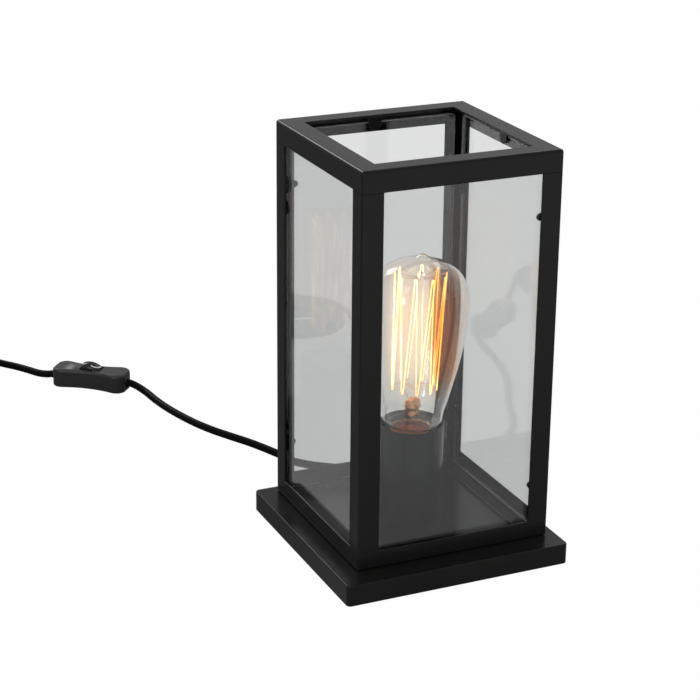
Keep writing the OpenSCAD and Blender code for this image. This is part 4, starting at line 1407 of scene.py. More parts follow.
@dataclass
class Lampholder:
    """Sleeve, hollow rod, nuts, body, threaded shell and contacts; seat is the body's height over the base."""

    layout: Layout
    sleeve_r: float = 21.25
    sleeve_h: float = 65.0
    wall: float = 1.2
    hole_r: float = 5.3
    seat: float = 23.0
    body_r: float = 18.0
    body_h: float = 36.0
    mouth_r: float = 14.0
    ribs: int = 5
    pitch: float = 3.629

    def sleeve(self) -> Form:
        """The outer sleeve with its floor.

        Returns:
            The sleeve.
        """
        low, r = self.layout.base_top, self.sleeve_r
        top, bore, floor = low + self.sleeve_h, r - self.wall, low + self.wall
        return Form().lathe(fillet([
            (self.hole_r, low, 0), (r, low, 0.3), (r, top, 0.55), (bore, top, 0.55), (bore, floor, 0.8),
            (self.hole_r, floor, 0)]), self.layout.axis, 128, ring=True)

    def body(self, low: float) -> Form:
        """The moulded body with a stack of grooves.

        Args:
            low: height of its foot.

        Returns:
            The body.
        """
        r, top = self.body_r, low + self.body_h
        grooves = [(r, low + 2.0, 0.0)]
        for k in range(self.ribs):
            z = low + 8 + 5.0 * k
            grooves += [(r, z, 0.3), (r - 0.7, z + 0.6, 0.2), (r - 0.7, z + 1.6, 0.2), (r, z + 2.2, 0.3)]
        return Form().lathe(fillet([
            (5.1, low, 0), (16.5, low, 0.5), *grooves, (r, top, 1.0), (self.mouth_r, top, 0.4),
            (self.mouth_r, low + 7.5, 0), (5.1, low + 7.5, 0)]), self.layout.axis, 64, ring=True)

    def shell(self, low: float) -> Form:
        """The threaded shell that the cap screws into.

        Args:
            low: height of the body's foot.

        Returns:
            The shell.
        """
        axis, floor, brim = self.layout.axis, low + 8.0, low + 32.5
        inner = threaded_wall(13.75, 0.35, low + 9, brim - 0.3, self.pitch, axis)
        outside = ((13.6, brim), (13.9, brim), (13.9, floor - 0.5), (8.0, floor - 0.5))
        return Form().loft([round_loop(8.0, floor, axis, 48), round_loop(13.3, floor, axis, 48), *inner,
                            *(round_loop(r, z, axis, 48) for r, z in outside)], ring=True)

    def build(self, nodes: Solids) -> None:
        """Makes the visible pieces and dresses the hidden solids.

        Args:
            nodes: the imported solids.
        """
        low = self.layout.base_top + self.seat
        piece("sleeve", self.sleeve(), SLEEVE_COAT, Body.LAMP, ["holder_sleeve"], sharp=40)
        piece("holder", self.body(low), RESIN, Body.LAMP, ["holder_body"], sharp=40)
        piece("screw_shell", self.shell(low), BRASS, Body.LAMP, ["thread_shell"], sharp=50)
        dress_solids(nodes, {
            "threaded_rod": ZINC, "rod_nuts": ZINC, "centre_contact": BRASS, "terminal_screws": ZINC})


@dataclass
class FilamentBulb:
    """Pear-shaped bulb: screw cap, cement, glass, stem, hooks and glowing wire.

    Attributes:
        layout: the shared sizes.
        cap_low: height of the cap's contact.
        rim: height of the cap's rim, above which the glass is measured.
        lean: how far the glass leans over in its cap, in degrees.
        pivot: height that it leans about.
        glass_h: height of the glass.
        pitch: rise of the cap's thread in one turn.
        strands: number of the wire's strands.
        first: where the wire's first bend lies round the stem, in degrees.
        foot_r: radius of the cage at its foot.
        head_r: radius at its head.
        foot_z: height of the foot above the rim.
        cage_h: height of the cage.
        coil_r: radius of the fine coil that the wire is wound in.
        wire_r: radius of the wire.
        coil_pitch: rise of the coil in one turn.
        hook_r: radius of the hooks' wire.
        lead_r: radius of the lead wires.
        knots: the glass's outline, as radius and share of its height.
        pinch: the pinch's rows, as radius, height and flatness.
    """

    layout: Layout
    cap_low: float = 48.5
    rim: float = 76.3
    lean: float = 2.6
    pivot: float = 73.9
    glass_h: float = 117.3
    pitch: float = 3.629
    strands: int = 18
    first: float = 100.0
    foot_r: float = 14.8
    head_r: float = 16.6
    foot_z: float = 28.0
    cage_h: float = 76.0
    coil_r: float = 0.26
    wire_r: float = 0.12
    coil_pitch: float = 0.95
    hook_r: float = 0.21
    lead_r: float = 0.27
    knots: tuple[Flat, ...] = (
        (14.8, 0.0145), (17.8, 0.028), (19.3, 0.048), (19.8, 0.077), (20.6, 0.119), (23.4, 0.213),
        (26.2, 0.32), (28.6, 0.418), (30.6, 0.527), (31.8, 0.622), (32.0, 0.72), (30.3, 0.816),
        (27.4, 0.871), (23.0, 0.912), (17.2, 0.943), (10.5, 0.965), (5.6, 0.977), (3.2, 0.988),
        (1.4, 0.997), (0.0, 1.0))
    pinch: tuple[Point, ...] = (
        (2.2, 8.0, 1.0), (3.3, 8.4, 1.0), (4.1, 9.8, 0.8), (3.9, 11.6, 0.66), (4.8, 13.0, 0.55),
        (5.6, 14.6, 0.45), (5.0, 16.2, 0.42), (5.5, 17.8, 0.42), (4.4, 19.4, 0.46), (2.4, 20.3, 0.7),
        (0.8, 20.7, 1.0))

    @property
    def head_z(self) -> float:
        """Height of the cage's head above the rim."""
        return self.foot_z + self.cage_h

    @property
    def tilt(self) -> Matrix:
        """From heights above the cap's rim on the glass's own axis to the row frame.

        Returns:
            The matrix.
        """
        x, y = self.layout.axis
        return (Matrix.Translation((x, y, self.pivot)) @ Matrix.Rotation(math.radians(self.lean), 4, "Y")
                @ Matrix.Translation((0, 0, self.rim - self.pivot)))

    def bend(self, k: int) -> Vector:
        """Bend k of the wire: even ones at the foot of the cage, odd ones at its head.

        Args:
            k: its number.

        Returns:
            Its place on the glass's own axis.
        """
        a = 2 * math.pi * k / (self.strands + 1) + math.radians(self.first)
        up = k % 2
        r = self.head_r if up else self.foot_r
        return Vector((r * math.cos(a), r * math.sin(a), self.foot_z + up * self.cage_h))

    def cap(self) -> None:
        """The screw cap with its rolled thread, insulator, contact and cement."""
        axis, low, rim = self.layout.axis, self.cap_low, self.rim
        wall = threaded_wall(13.1, 0.8, low + 4.8, rim - 4.7, self.pitch, axis, 64, 12)
        lip = ((13.75, rim - 4.1), (13.8, rim - 0.4), (13.7, rim - 0.05), (13.45, rim), (13.3, rim - 0.3),
               (13.3, rim - 4.0), (12.0, rim - 4.8), (11.9, low + 5.0), (9.4, low + 3.0))
        rows = [round_loop(9.6, low + 2.5, axis, 64), *wall, *(round_loop(r, z, axis, 64) for r, z in lip)]
        cement = [(r, rim - depth) for r, depth in (
            (0.0, 4.6), (12.9, 4.6), (13.25, 4.2), (13.25, 0.5), (12.9, 0.25), (12.4, 0.5), (12.3, 2.4),
            (11.6, 2.7), (8.0, 3.0), (0.0, 3.2))]
        insulator = fillet([(0, low + 0.9, 0), (5.0, low + 0.9, 0.4), (9.3, low + 2.5, 0.3),
                            (9.3, low + 3.6, 0.2), (0, low + 3.6, 0)])
        contact = [(r, low + z) for r, z in (
            (0.0, 0.0), (2.2, 0.03), (3.6, 0.2), (4.3, 0.5), (4.6, 0.9), (0.0, 0.9))]
        piece("screw_cap", Form().loft(rows, ring=True), BRASS, Body.BULB, ["bulb_cap"], sharp=50)
        piece("cement_ring", Form().lathe(cement, axis), CEMENT, Body.BULB, ["cap_cement"], sharp=50)
        piece("insulator", Form().lathe(insulator, axis), VITRITE, Body.BULB, ["cap_insulator"], sharp=50)
        piece("solder_contact", Form().lathe(contact, axis, 48), NICKEL, Body.BULB_LIFT, ["cap_contact"],
              sharp=50)

    def glass(self) -> None:
        """The blown glass, thinner towards its widest part, with the sealing pip on top."""
        outer = spline([(12.1, -2.2), (12.1, 0.1)] + [(r, h * self.glass_h) for r, h in self.knots], 5)
        inner = []
        for i, p in enumerate(outer[:-3]):
            along = (outer[i + 1] - outer[max(i - 1, 0)]).normalized()
            wall = 1.0 if i < 12 else 0.75
            q = p + Vector((-along.y, along.x)) * wall
            inner.append((max(q.x, 0.0), q.y))
        inner.append((0.0, self.glass_h - 1.6))
        profile = [tuple(p) for p in outer] + list(reversed(inner))
        piece("bulb_envelope", Form().lathe(profile, (0, 0), 96, ring=True).moved(self.tilt), BULB_GLASS,
              Body.BULB, ["bulb_glass"], sharp=60)

    def stem(self) -> None:
        """Flare, tube and the two buttons that hold the hooks, and the wrinkled pinch between them."""
        foot, head = self.foot_z, self.head_z
        flare = [(10.8, -2.0), (10.9, -1.6), (8.6, 0.4), (6.6, 2.4), (5.4, 5.0), (4.8, 8.0), (4.6, 11.6),
                 (4.0, 11.9), (3.4, 11.4), (3.8, 8.0), (4.4, 5.0), (5.6, 2.2), (7.6, 0.0), (9.7, -2.0)]
        glass = Form().lathe(flare, (0, 0), 48, ring=True)
        rod = [(0.0, 20.4), (1.6, 20.6), (1.7, foot - 2.4), (2.4, foot - 1.4), (2.6, foot), (2.4, foot + 1.4),
               (1.7, foot + 2.4), (1.7, head - 2.8), (2.2, head - 2.2), (2.5, head - 1.0), (2.2, head + 0.3),
               (1.0, head + 1.1), (0.0, head + 1.3)]
        glass.lathe(rod, (0, 0), 40)
        piece("stem", glass.moved(self.tilt), STEM_GLASS, Body.BULB, ["bulb_stem"], sharp=70)
        rows: list[Loop] = []
        for r, z, flat in self.pinch:
            row = []
            for a in around(40):
                p = Vector((r * math.cos(a), r * flat * math.sin(a), z))
                crease = noise.noise(p * 0.42) + 0.5 * noise.noise(p * 0.9 + Vector((7.0, 1.0, 3.0)))
                row.append(Vector((p.x * (1 + 0.2 * crease), p.y * (1 + 0.3 * crease), z)))
            rows.append(row)
        piece("stem_pinch", Form().loft(rows).moved(self.tilt), PINCH_GLASS, Body.BULB, ["bulb_stem"],
              sharp=70)

    def hooks(self, name: str, first: int, count: int, z: float, radius: float, drop: float) -> None:
        """A ring of hooks, each a wire from the stem's button out through its bend of the filament.

        Args:
            name: name of the piece.
            first: number of the first bend that is held.
            count: how many hooks there are.
            z: height of the bends above the cap's rim.
            radius: their distance from the stem.
            drop: height of the hooks' roots against their tips.
        """
        step = 4 * math.pi / (self.strands + 1)
        start = math.radians(self.first) + first * step / 2
        tree = Tree(name + "_spokes")
        number = tree.size("Hooks", count)
        turn, begin = tree.size("Step", step), tree.size("First Angle", start)
        reach, root = tree.size("Reach", radius * MM), tree.size("Root Drop", drop * MM)
        level, thick = tree.size("Height", z * MM), tree.size("Wire Radius", self.hook_r * MM)
        hook = tree.node("GeometryNodeCurvePrimitiveBezierSegment", inputs={
            "Resolution": 6, "Start": tree.vector(0.0022, 0.0, root), "End": tree.vector(reach, 0.0, 0.0),
            "Start Handle": tree.vector(tree.math("MULTIPLY", reach, 0.4), 0.0, root),
            "End Handle": tree.vector(tree.math("MULTIPLY", reach, 0.8), 0.0, 0.0)})
        profile = tree.node("GeometryNodeCurvePrimitiveCircle", inputs={"Resolution": 6, "Radius": thick})
        wire = tree.node("GeometryNodeCurveToMesh", inputs={
            "Curve": hook, "Profile Curve": profile, "Fill Caps": True})
        obj = tree.run(name, NICKEL, tree.ring(wire, number, tree.vector(z=level), (begin, turn)))
        obj.data.transform(metre_matrix(self.tilt))
        seat(obj, NICKEL, Body.BULB, ["filament_hooks"])

    def zigzag(self) -> Loop:
        """The way of the wire up and down over its hooks, with a small loop at each.

        Returns:
            The points.
        """
        path: Loop = [self.bend(0)]
        for k in range(1, self.strands):
            p = self.bend(k)
            along = Vector((-p.y, p.x, 0)).normalized()
            up = Vector((0, 0, 1 if k % 2 else -1))
            path += [p + 0.6 * (math.sin(a) * up - math.cos(a) * along) for a in sweep(math.pi, 4)]
        return path + [self.bend(self.strands)]

    def filament(self) -> None:
        """The coiled wire, wound along the zigzag."""
        path, coil = self.zigzag(), []
        run, wound = 0.0, 0.0
        for a, b in zip(path, path[1:]):
            length = (b - a).length
            ahead = (b - a).normalized()
            side = ahead.cross(Vector((a.x, a.y, 0))).normalized()
            up = ahead.cross(side)
            while wound < run + length:
                turn = 2 * math.pi * wound / self.coil_pitch
                coil.append(a.lerp(b, (wound - run) / length)
                            + self.coil_r * (math.cos(turn) * side + math.sin(turn) * up))
                wound += self.coil_pitch / 6
            run += length
        piece("filament_wire", Form().tube(coil, self.wire_r, 4).moved(self.tilt), GLOW, Body.BULB,
              ["filament"], sharp=100)

    def leads(self) -> None:
        """The two wires that carry the filament's ends down into the pinch."""
        both = Form()
        for k, side in ((0, -1), (self.strands, 1)):
            end = self.bend(k)
            both.tube(spline([
                (side * 4, 0, 21.2), (side * 4, 0.3, 22.2), (side * 3.9, end.y * 0.35, 23.4),
                ((side * 4 + 2 * end.x) / 3, end.y * 0.75, 24.2), (end.x, end.y - 0.4, 26.0),
                (end.x, end.y, 27.4), (end.x, end.y, 28.4)], 4), self.lead_r, 8)
        piece("leads", both.moved(self.tilt), NICKEL, Body.BULB, ["lead_wires"], sharp=60)

    def build(self) -> None:
        """Makes the whole bulb."""
        self.cap()
        self.glass()
        self.stem()
        self.filament()
        self.leads()
        self.hooks("hooks", 1, 9, self.head_z, self.head_r, -2.6)
        self.hooks("low_hooks", 2, 8, self.foot_z, self.foot_r, 1.6)


@dataclass
class LineSwitch:
    """Rocker switch in the cord: two shells with drawn-in sides, and a rocker with a painted highlight.

    Attributes:
        layout: the shared sizes.
        at: where it lies on the floor.
        turn: how it lies, in degrees.
        length: its length.
        width: its greatest width.
        waist: how far each long side is drawn in.
        corner: radius of its corners in plan.
        height: height of its upper face.
        parting: height of the joint between the shells, and of the cord's line.
        edge: radius of the upper edge.
        pivot: height of the rocker's pin.
        tilt: how far the rocker stands tilted, in degrees.
        rocker_l: length of the rocker.
        rocker_w: its width.
        rise: how far its crown stands over the cover before it is tilted.
        dome_r: radius of its face along its length.
        crown_r: radius across it.
        slot_l: half the length of the rocker's slot.
        gap: clearance of the slot beside the rocker.
        skirt: rows of the rocker's hidden part, as inset and height above the pin.
        face: rows of its rim and face, as inset and drop below the dome.
    """

    layout: Layout
    at: Flat = (-110.5, 337.0)
    turn: float = -40.5
    length: float = 60.0
    width: float = 22.0
    waist: float = 3.0
    corner: float = 7.0
    height: float = 14.8
    parting: float = 6.0
    edge: float = 2.4
    pivot: float = 11.8
    tilt: float = 11.0
    rocker_l: float = 15.0
    rocker_w: float = 11.0
    rise: float = 4.8
    dome_r: float = 14.0
    crown_r: float = 7.5
    slot_l: float = 8.52
    gap: float = 0.3
    skirt: tuple[Flat, ...] = ((0.3, -2.6), (0.0, -2.3))
    face: tuple[Flat, ...] = (
        (0.0, 0.9), (0.05, 0.55), (0.18, 0.25), (0.4, 0.07), (0.7, 0.0), (1.2, 0.0), (1.9, 0.0),
        (2.7, 0.0), (3.5, 0.0), (4.3, 0.0), (5.0, 0.0))

    @property
    def place(self) -> Matrix:
        """From the switch's own frame to the row frame."""
        return Matrix.Translation((*self.at, 0)) @ Matrix.Rotation(math.radians(self.turn), 4, "Z")

    @property
    def swing(self) -> Matrix:
        """From the rocker's own frame, with the pin as its Y axis, to the row frame."""
        tilted = Matrix.Rotation(math.radians(self.tilt), 4, "Y")
        return self.place @ Matrix.Translation((0, 0, self.pivot)) @ tilted

    def plan(self, inset: float, z: float) -> Loop:
        """The outline in plan: round corners and hollow long sides.

        Args:
            inset: how far it is drawn in all round.
            z: its height.

        Returns:
            The loop, with the same number of points at any inset.
        """
        half_l, half_w, r = self.length / 2 - inset, self.width / 2 - inset, self.corner - inset
        steps, cuts = 8, 24
        outline = fillet([(half_l, -half_w, r), (half_l, half_w, r), (-half_l, half_w, r),
                          (-half_l, -half_w, r)], steps)
        chord = self.length - 2 * self.corner - 4
        bow = (chord * chord / 4 + self.waist * self.waist) / (2 * self.waist)
        loop: Loop = []
        for i, (x, y) in enumerate(outline):
            loop.append(Vector((x, y, z)))
            if (i + 1) % (2 * (steps + 1)) == 0:
                x2 = outline[(i + 1) % len(outline)][0]
                for k in range(1, cuts):
                    t = x + (x2 - x) * k / cuts
                    reach = (bow + inset) ** 2 - t * t
                    hollow = self.width / 2 - self.waist + bow - math.sqrt(max(reach, 0.0))
                    loop.append(Vector((t, math.copysign(min(half_w, hollow), y), z)))
        return loop

    def dome(self, x: float, y: float) -> float:
        """Height of the rocker's face above its pin.

        Args:
            x: distance along the rocker from its pin.
            y: distance across it.

        Returns:
            The height.
        """
        along = self.dome_r - math.sqrt(self.dome_r ** 2 - x * x)
        across = self.crown_r - math.sqrt(self.crown_r ** 2 - y * y)
        return self.height - self.pivot + self.rise - along - across

    def rocker_loop(self, inset: float, height: Callable[[float, float], float]) -> Loop:
        """The rocker's outline with its straight sides divided.

        Args:
            inset: how far it is drawn in.
            height: gives the height at a place in plan.

        Returns:
            The loop.
        """
        x, y, r = self.rocker_l / 2 - inset, self.rocker_w / 2 - inset, max(1.0 - inset, 0.45)
        steps, cuts = 6, 10
        outline = fillet([(x, -y, r), (x, y, r), (-x, y, r), (-x, -y, r)], steps)
        loop: Loop = []
        for i, (u, v) in enumerate(outline):
            loop.append(Vector((u, v, height(u, v))))
            if (i + 1) % (steps + 1) == 0:
                u2, v2 = outline[(i + 1) % len(outline)]
                for k in range(1, cuts):
                    s, t = u + (u2 - u) * k / cuts, v + (v2 - v) * k / cuts
                    loop.append(Vector((s, t, height(s, t))))
        return loop

    def rocker(self) -> Form:
        """The rocker: a cap domed along and across, with a softly rounded rim.

        Returns:
            The rocker.
        """
        rows = [self.rocker_loop(inset, lambda u, v, level=z: level) for inset, z in self.skirt]
        rows += [self.rocker_loop(inset, lambda u, v, low=drop: self.dome(u, v) - low)
                 for inset, drop in self.face]
        return Form().loft(rows).moved(self.swing)

    def shell(self, levels: Sequence[Flat]) -> Form:
        """Lofts the plan through pairs of inset and height."""
        return Form().loft([self.plan(inset, z) for inset, z in levels]).moved(self.place)

    def cutter(self, radius: float, start: Point, end: Point, flare: float) -> Form:
        """A round cutter between two points, wider by flare at its start."""
        line = [Vector(start), Vector(end)]
        return Form().tube(line, lambda i: radius if i else radius + flare, 24).moved(self.place)

    def bores(self) -> list[Form]:
        """Cutters for the two mouths that the cord goes in by."""
        end, z = self.length / 2, self.parting
        return [self.cutter(3.1, (s * (end + 1), 0, z), (s * (end - 4.6), 0, z), 0.4) for s in (-1, 1)]

    def sinks(self) -> list[Form]:
        """Cutters for the countersunk screw holes underneath."""
        return [self.cutter(1.3, (s * 15, s * 6, -0.1), (s * 15, s * 6, 1.45), 1.15) for s in (-1, 1)]

    def slot(self) -> Form:
        """Cutter for the opening that the rocker moves in.

        Returns:
            The cutter.
        """
        reach, side = self.slot_l, self.rocker_w / 2 + self.gap
        outline = rounded_box((-reach, -side), (reach, side), 0.6, 3)
        return Form().loft([[Vector((x, y, z)) for x, y in outline] for z in (6.9, 20.0)]).moved(self.place)

    def finish(self) -> HighlightedRocker:
        """The rocker's finish, with its painted highlight arc under one end of the rocker as it stands.

        Returns:
            The finish.
        """
        spot = self.swing @ Vector((2.0, 0.5, 7.0))
        facing = math.radians(self.turn - 50.0)
        return HighlightedRocker("glossy_black_rocker", Slot.ROCKER, (0.008, 0.008, 0.0085), 0.16, grain=0.002,
                            ior=1.4, centre=(spot.x * MM, spot.y * MM, 0.0),
                            facing=(math.cos(facing), math.sin(facing), 0.0))

    def build(self, nodes: Solids) -> list[Object]:
        """Makes the shells and the rocker, and dresses the hidden solids.

        Args:
            nodes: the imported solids.

        Returns:
            The pieces.
        """
        part, top, r = self.parting, self.height, self.edge
        cover = [(0.12, part + 0.02), (0.0, part + 0.14)]
        cover += [(r * (1 - math.cos(a)), top - r * (1 - math.sin(a))) for a in sweep(math.pi / 2, 8)]
        base = [(1.3, 0.0), (0.5, 0.3), (0.12, 0.8), (0.0, 1.5), (0.0, part - 0.14), (0.12, part - 0.02)]
        made = [
            piece("switch_top", self.shell(cover), SHELL, Body.LAMP, ["switch_cover"], sharp=35,
                  cutters=[*self.bores(), self.slot()]),
            piece("switch_bottom", self.shell(base), SHELL, Body.LAMP, ["switch_base"], sharp=35,
                  cutters=[*self.bores(), *self.sinks()]),
            piece("rocker", self.rocker(), self.finish(), Body.ROCKER, ["switch_rocker"], sharp=35)]
        dress_solids(nodes, {"rocker_pin": ZINC, "switch_contacts": BRASS, "switch_screws": ZINC})
        return made


@dataclass
class Cord:
    """The cord with its strain relief, wound spare length, tie and plug.

    Attributes:
        layout: the shared sizes.
        switch: the switch that it runs through.
        exit_y: where it leaves the base.
        exit_z: the height there.
        relief_l: length of the strain relief.
        coil_at: middle of the wound cord.
        coil_r: radius of its outermost turn.
        coil_turns: turns in each of its two layers.
        coil_step: how far a turn lies inside the one before.
        coil_layer: rise from the lower layer to the upper one.
        coil_start: where the coil begins, in degrees.
        coil_low: height of the lower layer's centre line.
        tie_at: where the tie goes round the coil, in degrees.
        tie_w: half the tie's width.
        tie_gap: how far it stands off the turns.
        plug_gap: how far the plug lies from the coil.
        plug_z: height of the plug's centre line.
        plug_l: length of the plug, its tail counted.
        pin_out: how far each pin stands to the side.
        grip: the plug's rows, as distance from its tail's end, width and thickness.
        to_switch: the route over the floor, as in the solids.
        from_switch: the route from the switch to the coil, as in the solids.
    """

    layout: Layout
    switch: LineSwitch
    exit_y: float = 77.0
    exit_z: float = 7.2
    relief_l: float = 22.0
    coil_at: Flat = (-212.0, 402.0)
    coil_r: float = 40.0
    coil_turns: float = 3.44
    coil_step: float = 6.3
    coil_layer: float = 6.2
    coil_start: float = 42.0
    coil_low: float = 3.9
    tie_at: float = 110.0
    tie_w: float = 4.5
    tie_gap: float = 0.3
    plug_gap: float = 30.0
    plug_z: float = 6.85
    plug_l: float = 54.0
    pin_out: float = 9.3
    grip: tuple[Point, ...] = (
        (0.0, 7.2, 7.2), (0.6, 7.6, 7.6), (10.0, 8.6, 8.4), (19.0, 10.0, 9.6), (22.0, 13.5, 11.0),
        (27.0, 19.0, 12.2), (34.0, 25.5, 13.0), (41.0, 31.5, 13.5), (47.0, 34.6, 13.6), (51.0, 35.2, 13.6),
        (53.0, 34.8, 13.2), (53.8, 33.8, 12.4), (54.0, 32.4, 11.2))
    to_switch: tuple[Point, ...] = (
        (0, 104, 6.4), (-1.5, 111, 5), (-6, 118.5, 3.6), (-14, 127, 2.9), (-22, 137.5, 2.8),
        (-28.5, 151, 2.8), (-34.5, 166, 2.8), (-41, 180.5, 2.8), (-48.5, 194.5, 2.8), (-56.5, 210, 2.8),
        (-63.5, 227, 2.8), (-69, 245, 2.8), (-73.5, 264, 2.8), (-76.5, 283, 2.9), (-78.6, 299, 3.6),
        (-82, 309.5, 5))
    from_switch: tuple[Point, ...] = (
        (-138.9, 362.6, 4.9), (-143.4, 371, 3.4), (-149, 382.4, 2.9), (-155.5, 393, 2.8),
        (-163.5, 403.5, 2.8), (-171.5, 414.5, 3.1), (-178, 423.8, 3.8))

    @property
    def coil_length(self) -> float:
        """Turns in the whole coil: both layers and the half turn between them."""
        return 2 * self.coil_turns + 0.5

    def coil_angle(self, s: float) -> float:
        """Where the coil has come to after s turns, in radians."""
        return math.radians(self.coil_start) + 2 * math.pi * s

    def in_switch(self, x: float) -> Vector:
        """A point on the cord's line through the switch."""
        return self.switch.place @ Vector((x, 0, self.switch.parting))

    def coil_point(self, s: float) -> Vector:
        """A point on the wound cord, s turns from its start: in on one layer and out on the next.

        Args:
            s: turns from the start.

        Returns:
            The point.
        """
        x = min(1.0, max(0.0, 2 * (s - self.coil_turns)))
        if s < self.coil_turns:
            inward = s
        elif s > self.coil_turns + 0.5:
            inward = self.coil_length - s
        else:
            h = s - self.coil_turns
            inward = self.coil_turns + h - 2 * h * h
        r, a = self.coil_r - self.coil_step * inward, self.coil_angle(s)
        z = self.coil_low + self.coil_layer * x * x * (3 - 2 * x)
        return Vector((self.coil_at[0] + r * math.cos(a), self.coil_at[1] + r * math.sin(a), z))

    def coil(self) -> tuple[Loop, Vector, Vector]:
        """Points of the wound cord, and its directions at both ends.

        Returns:
            The points and the two directions.
        """
        count = int(self.coil_length * 36)
        points = [self.coil_point(self.coil_length * i / count) for i in range(count + 1)]
        into, out = (Vector((-math.sin(a), math.cos(a), 0))
                     for a in (self.coil_angle(0), self.coil_angle(self.coil_length)))
        return points, into, out

    def lamp_path(self) -> Loop:
        """Centre line from the strain relief to the switch.

        Returns:
            The points.
        """
        end, half = self.exit_y + self.relief_l, self.switch.length / 2
        return spline([(0, end, self.exit_z), (0, end + 2, self.exit_z - 0.05), *self.to_switch,
                       self.in_switch(half + 3), self.in_switch(half - 0.5), self.in_switch(half - 4)], 6)

    def plug_path(self) -> Loop:
        """Centre line from the switch through the coil to the plug.

        Returns:
            The points.
        """
        half, d = self.switch.length / 2, self.layout.cord_d
        turns, into, out = self.coil()
        first, last = turns[0] - d * into, turns[-1] + d * out
        supply = spline([self.in_switch(4 - half), self.in_switch(0.5 - half), self.in_switch(-half - 4),
                         *self.from_switch, first - 3 * into, first], 6)
        end = Vector((last.x, last.y - self.plug_gap, self.plug_z))
        tail = spline([last, last + 3 * out, last + 6 * out, last + Vector((0, -11.5, -0.9)),
                       end + Vector((0, 12.5, 0.9)), end + Vector((0, 6, 0)), end + Vector((0, 3, 0)), end], 6)
        return supply[:-1] + [first] + turns + tail

    def run(self, name: str, path: Loop, nodes: list[str], far_end: str, lay: str,
            with_pieces: list[Object]) -> Object:
        """Args:
            name: name of the piece.
            path: its centre line.
            nodes: the solids that it stands for.
            far_end: what is on its end; not used.
            lay: how it lies; not used.
            with_pieces: what is on it; not used.

        Returns:
            The cord.
        """
        d = self.layout.cord_d
        obj = piece(name, Form().tube(path, d / 2, 14), SHEATH, Body.LAMP, nodes, sharp=60)
        length = sum((b - a).length for a, b in zip(path, path[1:]))
        tuple(path[0] * MM)
        [tuple(p * MM) for p in path]
        return obj

    def relief(self) -> None:
        """Tapered strain relief with ribs that grow smaller towards its mouth."""
        turn = Matrix.Translation((0, self.exit_y, self.exit_z)) @ Matrix.Rotation(-math.pi / 2, 4, "X")
        bore, end = 2.82, self.relief_l
        profile = fillet([
            (bore, -2.9, 0), (5.1, -2.9, 0.3), (5.5, -1.6, 0), (4.5, -1.6, 0), (4.5, 0.1, 0), (5.7, 0.1, 0.2),
            (5.7, 1.6, 0.5), (4.7, 2.2, 0.4), (3.55, end - 1, 0.3), (3.3, end, 0.2), (bore, end, 0)])
        body = Form().lathe(profile, (0, 0), 40, ring=True).moved(turn)
        piece("strain_relief", body, SHELL, Body.LAMP, ["cord_gland"], sharp=50)
        self.rib_stack("relief_ribs", turn, (4.2, 3.1), (4.55, 3.75), 0.55, "cord_gland")

    def rib_stack(self, name: str, place: Matrix, spacing: Flat, radii: Flat, thick: float,
                  node: str) -> Object:
        """Five ring-shaped ribs along the +Z of place.

        Args:
            name: name of the piece.
            place: where the stack begins.
            spacing: distance of the first rib, and from rib to rib.
            radii: radius of the first rib and of the last.
            thick: half a rib's thickness.
            node: the solid that it belongs to.

        Returns:
            The piece.
        """
        tree = Tree(name + "_stack")
        number, gap = tree.size("Ribs", 5), tree.size("Pitch", spacing[1] * MM)
        begin, wide = tree.size("First Radius", radii[0] * MM), tree.size("Last Radius", radii[1] * MM)
        depth = tree.size("Thickness", thick * MM)
        line = tree.node("GeometryNodeMeshLine", {"mode": "OFFSET"}, {
            "Count": number, "Start Location": (0.0, 0.0, spacing[0] * MM), "Offset": tree.vector(z=gap)})
        circle = tree.node("GeometryNodeCurvePrimitiveCircle", inputs={"Resolution": 36, "Radius": begin})
        bead = tree.node("GeometryNodeCurvePrimitiveCircle", inputs={"Resolution": 8, "Radius": depth})
        rib = tree.node("GeometryNodeCurveToMesh", inputs={"Curve": circle, "Profile Curve": bead})
        share = tree.math("DIVIDE", tree.node("GeometryNodeInputIndex"), tree.math("SUBTRACT", number, 1.0))
        ratio = tree.math("DIVIDE", wide, begin)
        factor = tree.math("ADD", 1.0, tree.math("MULTIPLY", share, tree.math("SUBTRACT", ratio, 1.0)))
        ribs = tree.node("GeometryNodeInstanceOnPoints", inputs={
            "Points": line, "Instance": rib, "Scale": tree.vector(factor, factor, 1.0)})
        obj = tree.run(name, SHELL, ribs)
        obj.data.transform(metre_matrix(place))
        seat(obj, SHELL, Body.LAMP, [node])
        return obj

    def plug_body(self) -> Form:
        """The plug's tail and grip, round at the cord and squarer towards the pins.

        Returns:
            The body.
        """
        rows: list[Loop] = []
        for z, wide, thick in self.grip:
            power = 1.0 if z < 20 else 0.62
            row = []
            for a in around(48):
                c, s = math.cos(a), math.sin(a)
                row.append(Vector((math.copysign(abs(c) ** power, c) * wide / 2,
                                   math.copysign(abs(s) ** power, s) * thick / 2, z)))
            rows.append(row)
        return Form().loft(rows)

